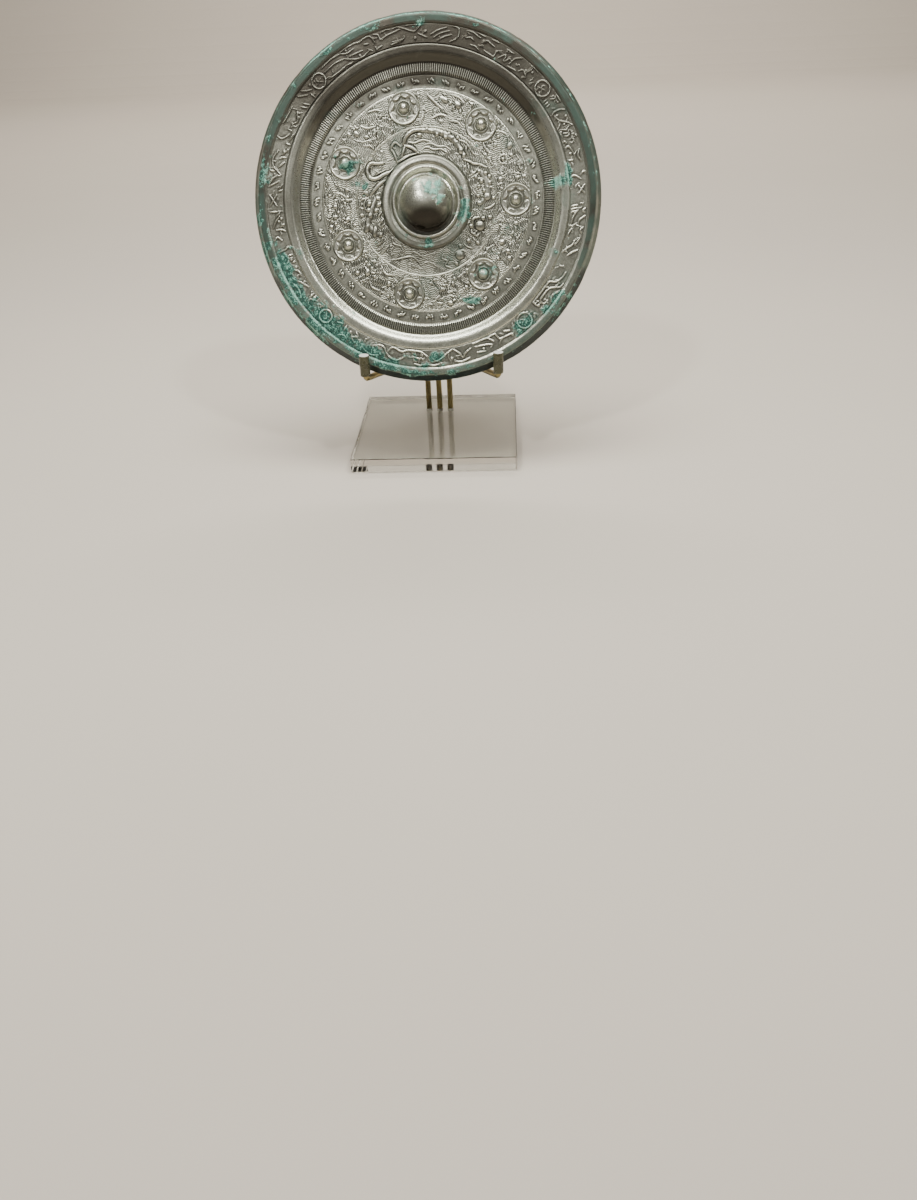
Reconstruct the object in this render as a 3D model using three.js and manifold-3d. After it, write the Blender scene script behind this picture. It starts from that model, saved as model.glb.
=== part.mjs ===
// Bronze mirror with seven nipples, standing on a display stand of three brass
// rods and a clear acrylic foot. Millimetres, +Z up. The origin is the middle of
// the foot's underside, +X is to the right and the mirror faces -Y, leaning back.
import * as THREE from 'three';
import { ConvexGeometry } from 'three/addons/geometries/ConvexGeometry.js';
import { mergeVertices } from 'three/addons/utils/BufferGeometryUtils.js';
import Module from 'manifold-3d';

const wasm = await Module();
wasm.setup();

// ---- driving dimensions -------------------------------------------------

const GAP = 0.3; // clearance between pieces that touch

// foot
const FOOT_WIDTH = 110;
const FOOT_HEIGHT = 9.4;
const FOOT_ARRIS = 0.4;
const SOCKET_DEPTH = 7;
const SOCKET_DIAMETER = 4.6;

// mirror: local z = 0 is the plane of the rim's front corner
const LEAN = 20.3; // degrees back from upright
const MIRROR_CENTRE = new THREE.Vector3(0.8, -10.3, 159.9);
const RIM_FRONT_RADIUS = 103.3;
const RIM_BACK_RADIUS = 107.3;
const RIM_THICKNESS = 7.5;
const FACE_BULGE = 1.6; // the reflecting face is slightly convex
const BAND_LEVEL = -0.4; // ground of the rim's line relief
const FIELD_LEVEL = -3.9; // ground of the figures inside the rim
const OUTER_RIDGE = 99;
const INNER_RIDGE = 87;
const SLOPE_FOOT = 77.4;
const COMB_INNER = 72;
const OUTER_LINE = 64.3; // thin ring outside the nipples
const INNER_LINE = 43; // thin ring round the beasts
const SEAT_RING = 25.3;
const KNOB_RING = 20.5;
const KNOB_RADIUS = 16.2;
const KNOB_TOP = 7.4;
const CORD_HOLE_WIDTH = 6;
const CORD_HOLE_HEIGHT = 4;
const CORD_HOLE_TURN = -14; // degrees from the mirror's upright line
const CORD_HOLE_LEVEL = FIELD_LEVEL + 2.9; // its middle

// nipples
const NIPPLES = 7;
const NIPPLE_CIRCLE = 54.8;
const NIPPLE_RING = 8.2;
const BOSS_RADIUS = 3.6;
const BOSS_HEIGHT = 3.3;

// rods
const ROD_DIAMETER = 4;
const ROD_PITCH = 7.75;
const ROD_X = -0.2; // middle rod
const ROD_Y = 31;
const ROD_BEND_HEIGHT = 49;
const BEND_RADIUS = 8;
const ELBOW_RADIUS = 3.2;
const PRONG_MIDDLE = 1.5;
const PRONG_X = 42.2; // either side of the prongs' middle
const PRONG_Y = -46.8;
const PRONG_FOOT = 61.9;
const REST_FOOT = -30; // along the mirror's upright line, from its middle
const REST_TIP = 26;

// sleeves
const SLEEVE_DIAMETER = 6.4;
const SLEEVE_BORE = 4.9;
const SLEEVE_TOP_WALL = 1.1;
const SLEEVE_TOP = 77.2;
const SLEEVE_LENGTH = 13.2;

// relief
const STROKE_ROOT = 1.6; // how far a raised stroke reaches into the ground

// resolution
const MIRROR_SIDES = 48;
const NIPPLE_SIDES = 10;
const ROD_SIDES = 10;
const SLEEVE_SIDES = 16;

const radians = THREE.MathUtils.degToRad;

// ---- materials ----------------------------------------------------------

const bronze = new THREE.MeshStandardMaterial({ color: 0x8d8f80, roughness: 0.42, metalness: 0.85 });
const brass = new THREE.MeshStandardMaterial({ color: 0x9c8350, roughness: 0.3, metalness: 1 });
const acrylic = new THREE.MeshStandardMaterial({
  color: 0xe9ede6,
  roughness: 0.05,
  metalness: 0,
  transparent: true,
  opacity: 0.35,
});
const sleevePlastic = new THREE.MeshStandardMaterial({
  color: 0xe4e6d6,
  roughness: 0.25,
  metalness: 0,
  transparent: true,
  opacity: 0.4,
});

// ---- solids -------------------------------------------------------------

// A closed geometry as a solid for joining and cutting.
function solid(geometry) {
  const bare = geometry.clone();
  for (const name of ['normal', 'uv']) bare.deleteAttribute(name);
  const merged = mergeVertices(bare, 1e-4);
  const corners = merged.index.array;
  const triangles = [];
  for (let i = 0; i < corners.length; i += 3) {
    const [a, b, c] = corners.slice(i, i + 3);
    if (a !== b && b !== c && c !== a) triangles.push(a, b, c);
  }
  return new wasm.Manifold(
    new wasm.Mesh({
      numProp: 3,
      vertProperties: new Float32Array(merged.attributes.position.array),
      triVerts: new Uint32Array(triangles),
    }),
  );
}

function geometryOf(body) {
  const mesh = body.getMesh();
  const geometry = new THREE.BufferGeometry();
  geometry.setAttribute('position', new THREE.BufferAttribute(mesh.vertProperties, 3));
  geometry.setIndex(new THREE.BufferAttribute(mesh.triVerts, 1));
  geometry.computeVertexNormals();
  return geometry;
}

// A turned solid about local z, from [radius, height] pairs that start and end on the axis.
function turned(profile, sides) {
  const points = profile.map(([radius, height]) => new THREE.Vector2(radius, height));
  return new THREE.LatheGeometry(points, sides).rotateX(Math.PI / 2);
}

function named(name, geometry, material) {
  const mesh = new THREE.Mesh(geometry, material);
  mesh.name = name;
  return mesh;
}

// ---- foot ---------------------------------------------------------------

function footPlate() {
  const half = FOOT_WIDTH / 2;
  const corners = [];
  for (const [height, inset] of [
    [0, FOOT_ARRIS],
    [FOOT_ARRIS, 0],
    [FOOT_HEIGHT - FOOT_ARRIS, 0],
    [FOOT_HEIGHT, FOOT_ARRIS],
  ]) {
    for (const [sx, sy] of [[1, 1], [1, -1], [-1, 1], [-1, -1]]) {
      corners.push(new THREE.Vector3(sx * (half - inset), sy * half, height));
      corners.push(new THREE.Vector3(sx * half, sy * (half - inset), height));
      corners[corners.length - 2].y -= sy * inset;
      corners[corners.length - 1].x -= sx * inset;
    }
  }
  let plate = solid(new ConvexGeometry(corners));
  const floor = FOOT_HEIGHT - SOCKET_DEPTH;
  for (const side of [-1, 0, 1]) {
    const socket = new THREE.CylinderGeometry(SOCKET_DIAMETER / 2, SOCKET_DIAMETER / 2, SOCKET_DEPTH + 1, 12);
    socket.rotateX(Math.PI / 2);
    socket.translate(ROD_X + side * ROD_PITCH, ROD_Y, floor + (SOCKET_DEPTH + 1) / 2);
    plate = plate.subtract(solid(socket));
  }
  return named('foot_plate', geometryOf(plate), acrylic);
}

// ---- rods ---------------------------------------------------------------

const lean = radians(LEAN);
const outward = new THREE.Vector3(0, -Math.cos(lean), Math.sin(lean)); // the decorated side's normal
const upright = new THREE.Vector3(0, Math.sin(lean), Math.cos(lean)); // up along the mirror

// A place on the mirror as a point of the whole: x across, v up, w out of the front.
function onMirror(x, v, w) {
  return MIRROR_CENTRE.clone()
    .add(new THREE.Vector3(x, 0, 0))
    .addScaledVector(upright, v)
    .addScaledVector(outward, w);
}

// A polyline with its inner corners rounded by circular-looking bends.
function bentPath(corners, radii) {
  const path = new THREE.CurvePath();
  let start = corners[0];
  for (let i = 1; i < corners.length - 1; i += 1) {
    const before = corners[i - 1].clone().sub(corners[i]).normalize();
    const after = corners[i + 1].clone().sub(corners[i]).normalize();
    const halfAngle = before.angleTo(after) / 2;
    const run = radii[i - 1] / Math.tan(halfAngle);
    const bendStart = corners[i].clone().addScaledVector(before, run);
    const bendEnd = corners[i].clone().addScaledVector(after, run);
    const pull = (4 / 3) * Math.tan((Math.PI / 2 - halfAngle) / 2) * radii[i - 1];
    path.add(new THREE.LineCurve3(start, bendStart));
    path.add(
      new THREE.CubicBezierCurve3(
        bendStart,
        bendStart.clone().addScaledVector(before, -pull),
        bendEnd.clone().addScaledVector(after, -pull),
        bendEnd,
      ),
    );
    start = bendEnd;
  }
  path.add(new THREE.LineCurve3(start, corners[corners.length - 1]));
  return path;
}

// Sections where the path needs them: the ends of each straight and a few in each bend.
function rodSolid(path, stepsInBend) {
  const stations = [];
  for (const piece of path.curves) {
    const steps = piece.isLineCurve3 ? 1 : stepsInBend;
    for (let i = 0; i < steps; i += 1) {
      stations.push([piece.getPoint(i / steps), piece.getTangent(i / steps)]);
    }
  }
  const last = path.curves[path.curves.length - 1];
  stations.push([last.getPoint(1), last.getTangent(1)]);

  const positions = [];
  let side = new THREE.Vector3(1, 0, 0);
  for (const [centre, tangent] of stations) {
    side = side.clone().addScaledVector(tangent, -side.dot(tangent)).normalize();
    const other = tangent.clone().cross(side);
    for (let k = 0; k < ROD_SIDES; k += 1) {
      const angle = (2 * Math.PI * k) / ROD_SIDES;
      const corner = centre
        .clone()
        .addScaledVector(side, (ROD_DIAMETER / 2) * Math.cos(angle))
        .addScaledVector(other, (ROD_DIAMETER / 2) * Math.sin(angle));
      positions.push(...corner.toArray());
    }
  }
  return tubeGeometry(positions, stations.length, ROD_SIDES);
}

// Rings of corners joined into one closed skin, with a flat cap on each end.
function tubeGeometry(positions, rings, sides) {
  const index = [];
  for (let i = 0; i < rings - 1; i += 1) {
    for (let k = 0; k < sides; k += 1) {
      const a = i * sides + k;
      const b = i * sides + ((k + 1) % sides);
      index.push(a, b, a + sides, b, b + sides, a + sides);
    }
  }
  const end = (rings - 1) * sides;
  for (let k = 1; k < sides - 1; k += 1) {
    index.push(0, k + 1, k);
    index.push(end, end + k, end + k + 1);
  }
  const geometry = new THREE.BufferGeometry();
  geometry.setAttribute('position', new THREE.Float32BufferAttribute(positions, 3));
  geometry.setIndex(index);
  return geometry;
}

const restOut = -(RIM_THICKNESS + FACE_BULGE + GAP + ROD_DIAMETER / 2); // rod axis behind the face

function prongPoint(side, height) {
  return new THREE.Vector3(PRONG_MIDDLE + side * PRONG_X, PRONG_Y, height);
}

function prongRod(side) {
  const foot = new THREE.Vector3(ROD_X + side * ROD_PITCH, ROD_Y, FOOT_HEIGHT - SOCKET_DEPTH + GAP);
  const corners = [
    foot,
    foot.clone().setZ(ROD_BEND_HEIGHT),
    prongPoint(side, PRONG_FOOT),
    prongPoint(side, SLEEVE_TOP - SLEEVE_TOP_WALL - GAP),
  ];
  return rodSolid(bentPath(corners, [BEND_RADIUS, ELBOW_RADIUS]), 6);
}

function restRod() {
  const foot = new THREE.Vector3(ROD_X, ROD_Y, FOOT_HEIGHT - SOCKET_DEPTH + GAP);
  const acrossMirror = ROD_X - MIRROR_CENTRE.x;
  const corners = [
    foot,
    foot.clone().setZ(ROD_BEND_HEIGHT + 6),
    onMirror(acrossMirror, REST_FOOT, restOut),
    onMirror(acrossMirror, REST_TIP, restOut),
  ];
  return rodSolid(bentPath(corners, [BEND_RADIUS, BEND_RADIUS]), 6);
}

// ---- sleeves ------------------------------------------------------------

function sleeve(side) {
  const cap = turned(
    [
      [0, 0],
      [SLEEVE_DIAMETER / 2, 0],
      [SLEEVE_DIAMETER / 2, -SLEEVE_LENGTH],
      [SLEEVE_BORE / 2, -SLEEVE_LENGTH],
      [SLEEVE_BORE / 2, -SLEEVE_TOP_WALL],
      [0, -SLEEVE_TOP_WALL],
    ].reverse(),
    SLEEVE_SIDES,
  );
  const mesh = named(side < 0 ? 'sleeve_left' : 'sleeve_right', cap, sleevePlastic);
  mesh.position.copy(prongPoint(side, SLEEVE_TOP));
  return mesh;
}

// ---- mirror -------------------------------------------------------------

// The front's section from the middle out, before the figures are added.
function frontSection() {
  const section = [];
  const base = FIELD_LEVEL + 0.7;
  const knobSteps = 5;
  for (let i = 0; i <= knobSteps; i += 1) {
    const angle = radians(90 - (84 * i) / knobSteps);
    section.push([KNOB_RADIUS * Math.cos(angle), base + (KNOB_TOP - base) * Math.sin(angle)]);
  }
  section.push([KNOB_RADIUS + 0.5, base - 0.3]);
  section.push([KNOB_RING - 1.6, FIELD_LEVEL + 0.4]);
  section.push([KNOB_RING - 0.4, FIELD_LEVEL + 2.1], [KNOB_RING + 0.6, FIELD_LEVEL + 2.1]);
  section.push([KNOB_RING + 1.6, FIELD_LEVEL + 0.6]);
  section.push([SEAT_RING - 1.3, FIELD_LEVEL + 1.7], [SEAT_RING + 0.6, FIELD_LEVEL + 1.7]);
  section.push([SEAT_RING + 2.3, FIELD_LEVEL]);
  for (const ring of [INNER_LINE, OUTER_LINE]) {
    section.push([ring - 0.7, FIELD_LEVEL], [ring, FIELD_LEVEL + 0.6], [ring + 0.7, FIELD_LEVEL]);
  }
  section.push([COMB_INNER, FIELD_LEVEL], [SLOPE_FOOT, FIELD_LEVEL + 0.3]);
  section.push([SLOPE_FOOT + 3.4, FIELD_LEVEL + 0.9], [SLOPE_FOOT + 6.4, FIELD_LEVEL + 2]);
  section.push([INNER_RIDGE - 1, BAND_LEVEL - 0.4], [INNER_RIDGE, 0], [INNER_RIDGE + 0.9, BAND_LEVEL]);
  section.push([OUTER_RIDGE - 0.9, BAND_LEVEL], [OUTER_RIDGE, 0.1], [OUTER_RIDGE + 0.9, -0.1]);
  section.push([RIM_FRONT_RADIUS, 0]);
  return section;
}

function backSection() {
  const section = [[RIM_BACK_RADIUS, -RIM_THICKNESS + 0.5], [RIM_BACK_RADIUS - 0.4, -RIM_THICKNESS]];
  const steps = 4;
  for (let i = 1; i <= steps; i += 1) {
    const radius = (RIM_BACK_RADIUS - 0.4) * (1 - i / steps);
    const part = 1 - (radius / RIM_BACK_RADIUS) ** 2;
    section.push([radius, -RIM_THICKNESS - FACE_BULGE * part]);
  }
  return section;
}

const section = frontSection();

// Height of the plain front at a radius.
function groundAt(radius) {
  for (let i = 1; i < section.length; i += 1) {
    const [r0, z0] = section[i - 1];
    const [r1, z1] = section[i];
    if (radius <= r1) return z0 + ((z1 - z0) * (radius - r0)) / Math.max(r1 - r0, 1e-6);
  }
  return 0;
}

function polar(radius, degrees) {
  return new THREE.Vector2(radius * Math.cos(radians(degrees)), radius * Math.sin(radians(degrees)));
}

// A raised stroke along a flat curve: full in the middle, thin at the ends.
function stroke(points, width, height, steps = 5) {
  const curve = new THREE.SplineCurve(points);
  const positions = [];
  for (let i = 0; i <= steps; i += 1) {
    const at = i / steps;
    const centre = curve.getPoint(at);
    const ahead = curve.getTangent(at);
    const swell = 0.35 + 0.65 * Math.sin(Math.PI * (0.08 + 0.84 * at));
    const ground = groundAt(centre.length());
    for (const [across, level] of [
      [-1, ground - STROKE_ROOT],
      [1, ground - STROKE_ROOT],
      [0.6, ground + height * swell],
      [-0.6, ground + height * swell],
    ]) {
      const reach = (across * swell * width) / 2;
      positions.push(centre.x - ahead.y * reach, centre.y + ahead.x * reach, level);
    }
  }
  return solid(tubeGeometry(positions, steps + 1, 4));
}

// A low rounded lump, such as a shoulder, head or haunch.
function lump(radius, degrees, long, wide, high, turn = 0) {
  const ball = new THREE.SphereGeometry(1, 7, 5).rotateX(Math.PI / 2);
  ball.scale(long / 2, wide / 2, high + 0.4);
  ball.rotateZ(radians(degrees + 90 + turn));
  const place = polar(radius, degrees);
  ball.translate(place.x, place.y, groundAt(radius) - 0.4);
  return solid(ball);
}

function nipple(degrees) {
  const base = -0.5;
  const ring = turned(
    [
      [0, base],
      [NIPPLE_RING + 0.7, base],
      [NIPPLE_RING + 0.5, 0.7],
      [NIPPLE_RING - 0.5, 0.7],
      [NIPPLE_RING - 1.1, 0.15],
      [BOSS_RADIUS + 0.4, 0.15],
      [BOSS_RADIUS - 0.4, 1],
      [BOSS_RADIUS * 0.3, BOSS_HEIGHT],
      [0, BOSS_HEIGHT + 0.2],
    ],
    NIPPLE_SIDES,
  );
  const place = polar(NIPPLE_CIRCLE, degrees);
  ring.translate(place.x, place.y, FIELD_LEVEL);
  return solid(ring);
}

// Beasts round the knob: [radius, degrees] along each stroke, then its width and height.
function beasts() {
  const path = (...pairs) => pairs.map(([radius, degrees]) => polar(radius, degrees));
  return [
    stroke(path([35, 112], [39, 94], [39, 74], [36.5, 56], [34.5, 38]), 6, 1.9, 8),
    stroke(path([37.8, 121], [33, 116], [27.5, 104]), 2.6, 1.2),
    stroke(path([37.8, 121], [39.5, 110], [39, 100]), 3.2, 1.4),
    stroke(path([38, 34], [38, 16], [37, -2]), 5.6, 1.8),
    stroke(path([29.5, 129], [35.5, 139], [40, 149], [38.5, 156], [33, 154.5], [28.5, 144]), 2, 1.4, 12),
    stroke(path([28.5, 155], [30, 176], [29.5, 200]), 2.6, 1.4),
    stroke(path([37.5, -14], [31, -18], [30.5, -25], [37, -27]), 2.4, 1.4),
    stroke(path([39.5, -46], [34, -50], [33.5, -60]), 1.8, 0.9),
    stroke(path([39, 235], [36, 246], [39.5, 257], [38, 268], [40, 279]), 2, 0.9, 8),
    lump(38.5, 88, 9, 6, 2),
    lump(38.5, 68, 8, 6, 2),
    lump(39, 24, 6, 5, 2),
    lump(37, 7, 6, 5, 2),
    lump(35.5, 208, 10, 6.5, 1.9, 20),
    stroke(path([36, -5], [40, -5.5], [42, -4]), 1.8, 0.9),
    lump(37, 176, 5, 4, 1.5),
    lump(35, 188, 5, 4, 1.5),
    lump(37, -57.5, 6, 5.4, 2.2),
  ];
}

// Small creatures between the nipples, each a body and a head.
function creatures() {
  const pieces = [];
  for (let i = 0; i < NIPPLES; i += 1) {
    const middle = ((i + 0.5) * 360) / NIPPLES;
    const radius = NIPPLE_CIRCLE + (i % 2 ? 2 : -2);
    pieces.push(lump(radius, middle - 2, 7, 4.4, 1.1, i % 3 ? 15 : -15));
    pieces.push(lump(radius + 2.5, middle + 5, 3.6, 3, 1));
  }
  return pieces;
}

// Cloud scrolls and four medallions on the rim.
function rimRelief() {
  const pieces = [];
  const middle = (INNER_RIDGE + OUTER_RIDGE) / 2;
  const swing = 3.4;
  const scrolls = 20;
  for (let i = 0; i < scrolls; i += 1) {
    const from = (i * 360) / scrolls;
    const side = i % 2 ? 1 : -1;
    const span = 14;
    const points = [0, 1, 2, 3].map((k) =>
      polar(middle + side * swing * Math.sin((k * Math.PI) / 1.5 + 0.9), from + (k * span) / 3),
    );
    pieces.push(stroke(points, 1.6, 0.45, 4));
  }
  return pieces;
}

function bronzeMirror() {
  let body = solid(turned([...section, ...backSection()].reverse(), MIRROR_SIDES));
  for (let i = 0; i < NIPPLES; i += 1) body = body.add(nipple((i * 360) / NIPPLES));
  for (const piece of [...beasts(), ...creatures(), ...rimRelief()]) body = body.add(piece);

  const hole = new THREE.CylinderGeometry(1, 1, 2 * KNOB_RADIUS + 2, 12);
  hole.scale(CORD_HOLE_WIDTH / 2, 1, CORD_HOLE_HEIGHT / 2);
  hole.rotateZ(radians(CORD_HOLE_TURN));
  hole.translate(0, 0, CORD_HOLE_LEVEL);
  body = body.subtract(solid(hole));

  const mesh = named('bronze_mirror', geometryOf(body), bronze);
  mesh.position.copy(MIRROR_CENTRE);
  mesh.rotation.x = Math.PI / 2 - lean;
  return mesh;
}

// ---- the whole ----------------------------------------------------------

const group = new THREE.Group();
group.add(footPlate());
group.add(named('rod_left', prongRod(-1), brass));
group.add(named('rod_right', prongRod(1), brass));
group.add(named('rod_back', restRod(), brass));
group.add(sleeve(-1), sleeve(1));
group.add(bronzeMirror());

export default group;
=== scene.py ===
# %% [markdown]
# # An old cast bronze mirror on its display stand
# The mirror is a bronze disc a little over twenty centimetres across. Its plain back was the polished
# face, and this side carries the ornament. It leans on two bent brass rods that end in plastic sleeves,
# and a third rod runs up behind it. All three stand in holes in a clear acrylic foot.
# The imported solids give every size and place, so they are loaded first and never moved.

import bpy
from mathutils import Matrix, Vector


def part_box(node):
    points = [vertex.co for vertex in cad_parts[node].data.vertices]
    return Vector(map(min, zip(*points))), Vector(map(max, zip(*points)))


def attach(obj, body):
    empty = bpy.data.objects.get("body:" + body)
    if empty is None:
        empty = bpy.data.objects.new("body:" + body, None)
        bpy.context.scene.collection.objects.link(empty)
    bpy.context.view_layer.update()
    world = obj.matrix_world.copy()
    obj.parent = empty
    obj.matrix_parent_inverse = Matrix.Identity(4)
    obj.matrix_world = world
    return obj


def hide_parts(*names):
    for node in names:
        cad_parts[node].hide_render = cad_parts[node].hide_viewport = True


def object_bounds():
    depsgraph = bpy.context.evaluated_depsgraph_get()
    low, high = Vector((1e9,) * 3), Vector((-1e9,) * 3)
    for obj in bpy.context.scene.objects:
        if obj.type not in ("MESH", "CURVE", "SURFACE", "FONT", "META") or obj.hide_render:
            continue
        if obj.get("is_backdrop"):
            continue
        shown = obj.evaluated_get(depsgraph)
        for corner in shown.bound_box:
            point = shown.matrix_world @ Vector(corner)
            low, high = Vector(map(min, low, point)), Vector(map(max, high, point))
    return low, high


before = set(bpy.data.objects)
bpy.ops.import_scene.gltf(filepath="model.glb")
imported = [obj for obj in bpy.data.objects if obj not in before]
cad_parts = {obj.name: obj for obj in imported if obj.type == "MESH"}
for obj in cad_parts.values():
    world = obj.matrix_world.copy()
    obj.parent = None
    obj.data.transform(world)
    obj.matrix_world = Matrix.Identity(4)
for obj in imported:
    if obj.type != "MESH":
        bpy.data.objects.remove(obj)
cad_box = [list(corner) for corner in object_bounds()]

# %% [markdown]
# ## The mirror's own axes
# The disc leans back, so its ornament is easiest to describe flat: x to the right, y up the disc, z out
# of the decorated side, in millimetres from the middle. One function stands those points on the stand.
# The alternative is to turn the finished objects, but a pattern on Object coordinates would turn too.

# %% Axes and a function that stands the disc up
import math

import bmesh
import bpy
import numpy as np
from mathutils import Matrix, Vector

MM = 0.001
LEAN = math.radians(20.3)
CENTRE = np.array([0.8, -10.3, 159.9])  # where the middle of the disc is on the stand, in mm
AXES = np.array([
    [1, 0, 0],
    [0, math.sin(LEAN), math.cos(LEAN)],
    [0, -math.cos(LEAN), math.sin(LEAN)],
])


def on_stand(points):
    """Points of the mirror's own axes, in mm, as points of the stand, in metres."""
    return (CENTRE + np.asarray(points, float) @ AXES) * MM


low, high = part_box("bronze_mirror")
print("mirror solid, mm:", [round((b - a) / MM, 1) for a, b in zip(low, high)])

# %% [markdown]
# ## Making a piece
# Every piece ends the same way: a closed mesh whose place is in its points, one material, a ride on the
# single body, and the imported solid that it stands for hidden. A function does this once.

# %% One way to finish every piece
def new_mesh(name, points, faces):
    mesh = bpy.data.meshes.new(name)
    mesh.from_pydata(np.asarray(points).tolist(), [], faces)
    return mesh


def new_object(name, data):
    thing = bpy.data.objects.new(name, data)
    bpy.context.scene.collection.objects.link(thing)
    return thing


def seat(thing, node, finish, smooth=True):
    mesh = thing.data
    mesh.polygons.foreach_set("use_smooth", [smooth] * len(mesh.polygons))
    mesh.materials.append(finish)
    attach(thing, "root")
    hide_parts(node)
    mesh.calc_loop_triangles()
    print(f"{thing.name}: {len(mesh.vertices)} points, {len(mesh.loop_triangles)} triangles")
    return thing


# %% [markdown]
# ## Uneven surfaces
# Old metal is never even. A grid of random numbers, blended smoothly between its corners, gives a slow
# mottle, and four layers of it, each finer and fainter, give a cloud. The seed is fixed, so every run
# gives the same mirror.

# %% Mottle and cloud
GRID = 64  # random numbers along each side of the grid


def ease(t):
    """Rises smoothly from 0 to 1 as t does."""
    t = np.clip(t, 0, 1)
    return t * t * (3 - 2 * t)


def mottle(x, y, size, seed):
    table = np.random.default_rng(seed).random((GRID, GRID))
    u, v = x / size, y / size
    i, j = np.floor(u).astype(int), np.floor(v).astype(int)
    f, g = ease(u - i), ease(v - j)
    i, j, i2, j2 = i % GRID, j % GRID, (i + 1) % GRID, (j + 1) % GRID
    near = table[i, j] * (1 - f) + table[i2, j] * f
    far = table[i, j2] * (1 - f) + table[i2, j2] * f
    return near * (1 - g) + far * g


def cloud(x, y, size, seed):
    layers = [mottle(x, y, size / 2**k, seed + k) / 2**k for k in range(4)]
    return sum(layers) / (2 - 1 / 8)


# %% [markdown]
# ## Where the green crust grows
# Buried bronze grows a turquoise crust in patches: thick at the lower left and lower right of the rim,
# thin along the border and its upper edge, with spots on the knob, on two bosses and on the slope. The
# cloud breaks the edge of each patch up. A point of every mesh keeps the result as an attribute, which
# the bronze material reads. Painting it in the material alone would take a hundred nodes for the same.

# %% Crust, tarnish with painted shade, and film with a painted dark reflection, as attributes
# each arc: radius, angle, reach across, reach along in degrees, strength
CRUST_ARCS = [
    (98, 205, 8, 16, 1.05), (100, 172, 5, 14, 0.45), (102, 262, 3, 22, 1.0), (102, 288, 2.5, 14, 0.55),
    (104.6, 90, 1.3, 80, 1.0), (97, 226, 9, 16, 1.15), (97, 243, 8, 13, 1.1), (99, 257, 5, 12, 0.95),
    (99, 265, 4, 16, 0.7), (102, 180, 3, 34, 0.58), (95, 310, 7, 7, 1.15), (99, 320, 5, 8, 0.85),
    (92, 272, 4, 3.2, 1.05), (93, 262, 4, 4, 0.7), (84, 338, 5, 2.5, 0.95), (81, 6, 6, 5, 0.72),
    (87.5, 9, 2.5, 6, 1.0), (103, 345, 2, 24, 0.5), (99, 90, 3.5, 4, 0.8), (102, 120, 3, 40, 0.4),
    (102, 60, 3, 40, 0.38), (24, 345, 5, 32, 0.72), (24, 270, 4.5, 48, 0.6), (100, 192, 5, 8, 0.7),
    (84, 200, 4, 4, 0.6), (88, 60, 3, 3, 0.55), (104.5, 215, 3, 40, 0.85), (104.5, 320, 3, 26, 0.6),
]
# each spot: x, y, reach in x, reach in y, strength
CRUST_SPOTS = [
    (4, 7, 8.5, 7.5, 1.15), (-11, 2, 5, 6, 0.4), (12, -1, 4, 6, 0.5), (-6, 12, 6, 4, 0.5),
    (9, 1, 4, 5, 0.8), (-45, 22, 7, 5, 0.95), (-40, 12, 9, 6, 0.6), (36, -42, 7, 8, 0.75),
    (26, -58, 6, 3, 0.95), (40, -30, 6, 5, 0.62), (12, 14, 4, 3, 0.5), (-36, 2, 5, 5, 0.45),
    (60, 20, 6, 5, 0.4), (-70, 28, 4, 8, 0.45),
]
BACK_STARTS = -7.15  # points below this level belong to the plain back


def near_arc(r, a, arc):
    radius, angle, across, along, strength = arc
    turn = (a - angle + 180) % 360 - 180
    return strength * np.exp(-(((r - radius) / across) ** 2) - (turn / along) ** 2)


def near_spot(x, y, spot):
    cx, cy, wide, tall, strength = spot
    return strength * np.exp(-(((x - cx) / wide) ** 2) - ((y - cy) / tall) ** 2)


def crust_reach(x, y):
    r, a = np.hypot(x, y), np.degrees(np.arctan2(y, x))
    arcs = [near_arc(r, a, arc) for arc in CRUST_ARCS]
    return np.maximum.reduce(arcs + [near_spot(x, y, spot) for spot in CRUST_SPOTS])


def crust_at(x, y):
    broken = 1.35 * (cloud(x, y, 8, 3) - 0.5) + 0.95 * (cloud(x, y, 2.4, 5) - 0.5)
    return ease((crust_reach(x, y) + broken - 0.25) / 0.75)


def tarnish_and_painted_shade_at(x, y):
    """Dark, warm tarnish and painted shade: each place by its radius r, and by the side of the disc that
    it is on.
    """
    r = np.hypot(x, y)
    # The upper comb, slope, rim and border grow darker upwards: tarnish, and painted shade where these
    # faces turn down from the lamp above. The lower inner ring is darker towards the bottom, the left
    # side towards the left.
    places = {
        # Painted shade on the knob's lower half.
        "lower knob": near_spot(x, y, (0, -11, 13, 7.5, 1.25)),
        "lower inner ring": 0.55 * np.exp(-(((r - 31) / 13) ** 4)) * ease((8 - y) / 25),
        "upper comb": 0.75 * ease((r - 63) / 4) * ease((84 - r) / 3) * ease((y - 22) / 45),
        "upper slope": 1.15 * np.exp(-(((r - 80.3) / 3.2) ** 4)) * ease((y - 5) / 60),
        "upper rim": 0.85 * ease((r - 81.5) / 2) * ease((y + 30) / 105),
        "left side": 0.45 * ease((r - 74) / 4) * ease((-x - 35) / 50) * ease((y + 60) / 60),
        "border": ease((r - 98) / 1.5) * ease((103.4 - r) / 0.8) * ease((y + 95) / 110),
    }
    darkest = np.maximum.reduce(list(places.values()))
    return np.clip(darkest + 0.35 * (cloud(x, y, 22, 41) - 0.42), 0, 1)


def film_and_painted_reflection_at(x, y):
    """A thin dark green film on the bevelled side, which creeps over the border and round the crust.
    On the lower side it also holds a painted dark reflection.
    """
    r = np.hypot(x, y)
    # The side darkens towards the bottom: green film, and a painted dark reflection of what lies below
    # it.
    side = ease((r - 102.4) / 1.3) * (0.3 + 0.7 * ease((5 - y) / 60))
    border = 0.8 * ease((r - 97.5) / 3) * ease((cloud(x, y, 11, 57) - 0.15) / 0.4)
    stains = 0.55 * ease((cloud(x, y, 17, 67) - 0.56) / 0.2)
    return np.maximum.reduce([side, border, stains, 0.75 * ease(crust_reach(x, y) * 1.5 - 0.2)])


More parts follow.
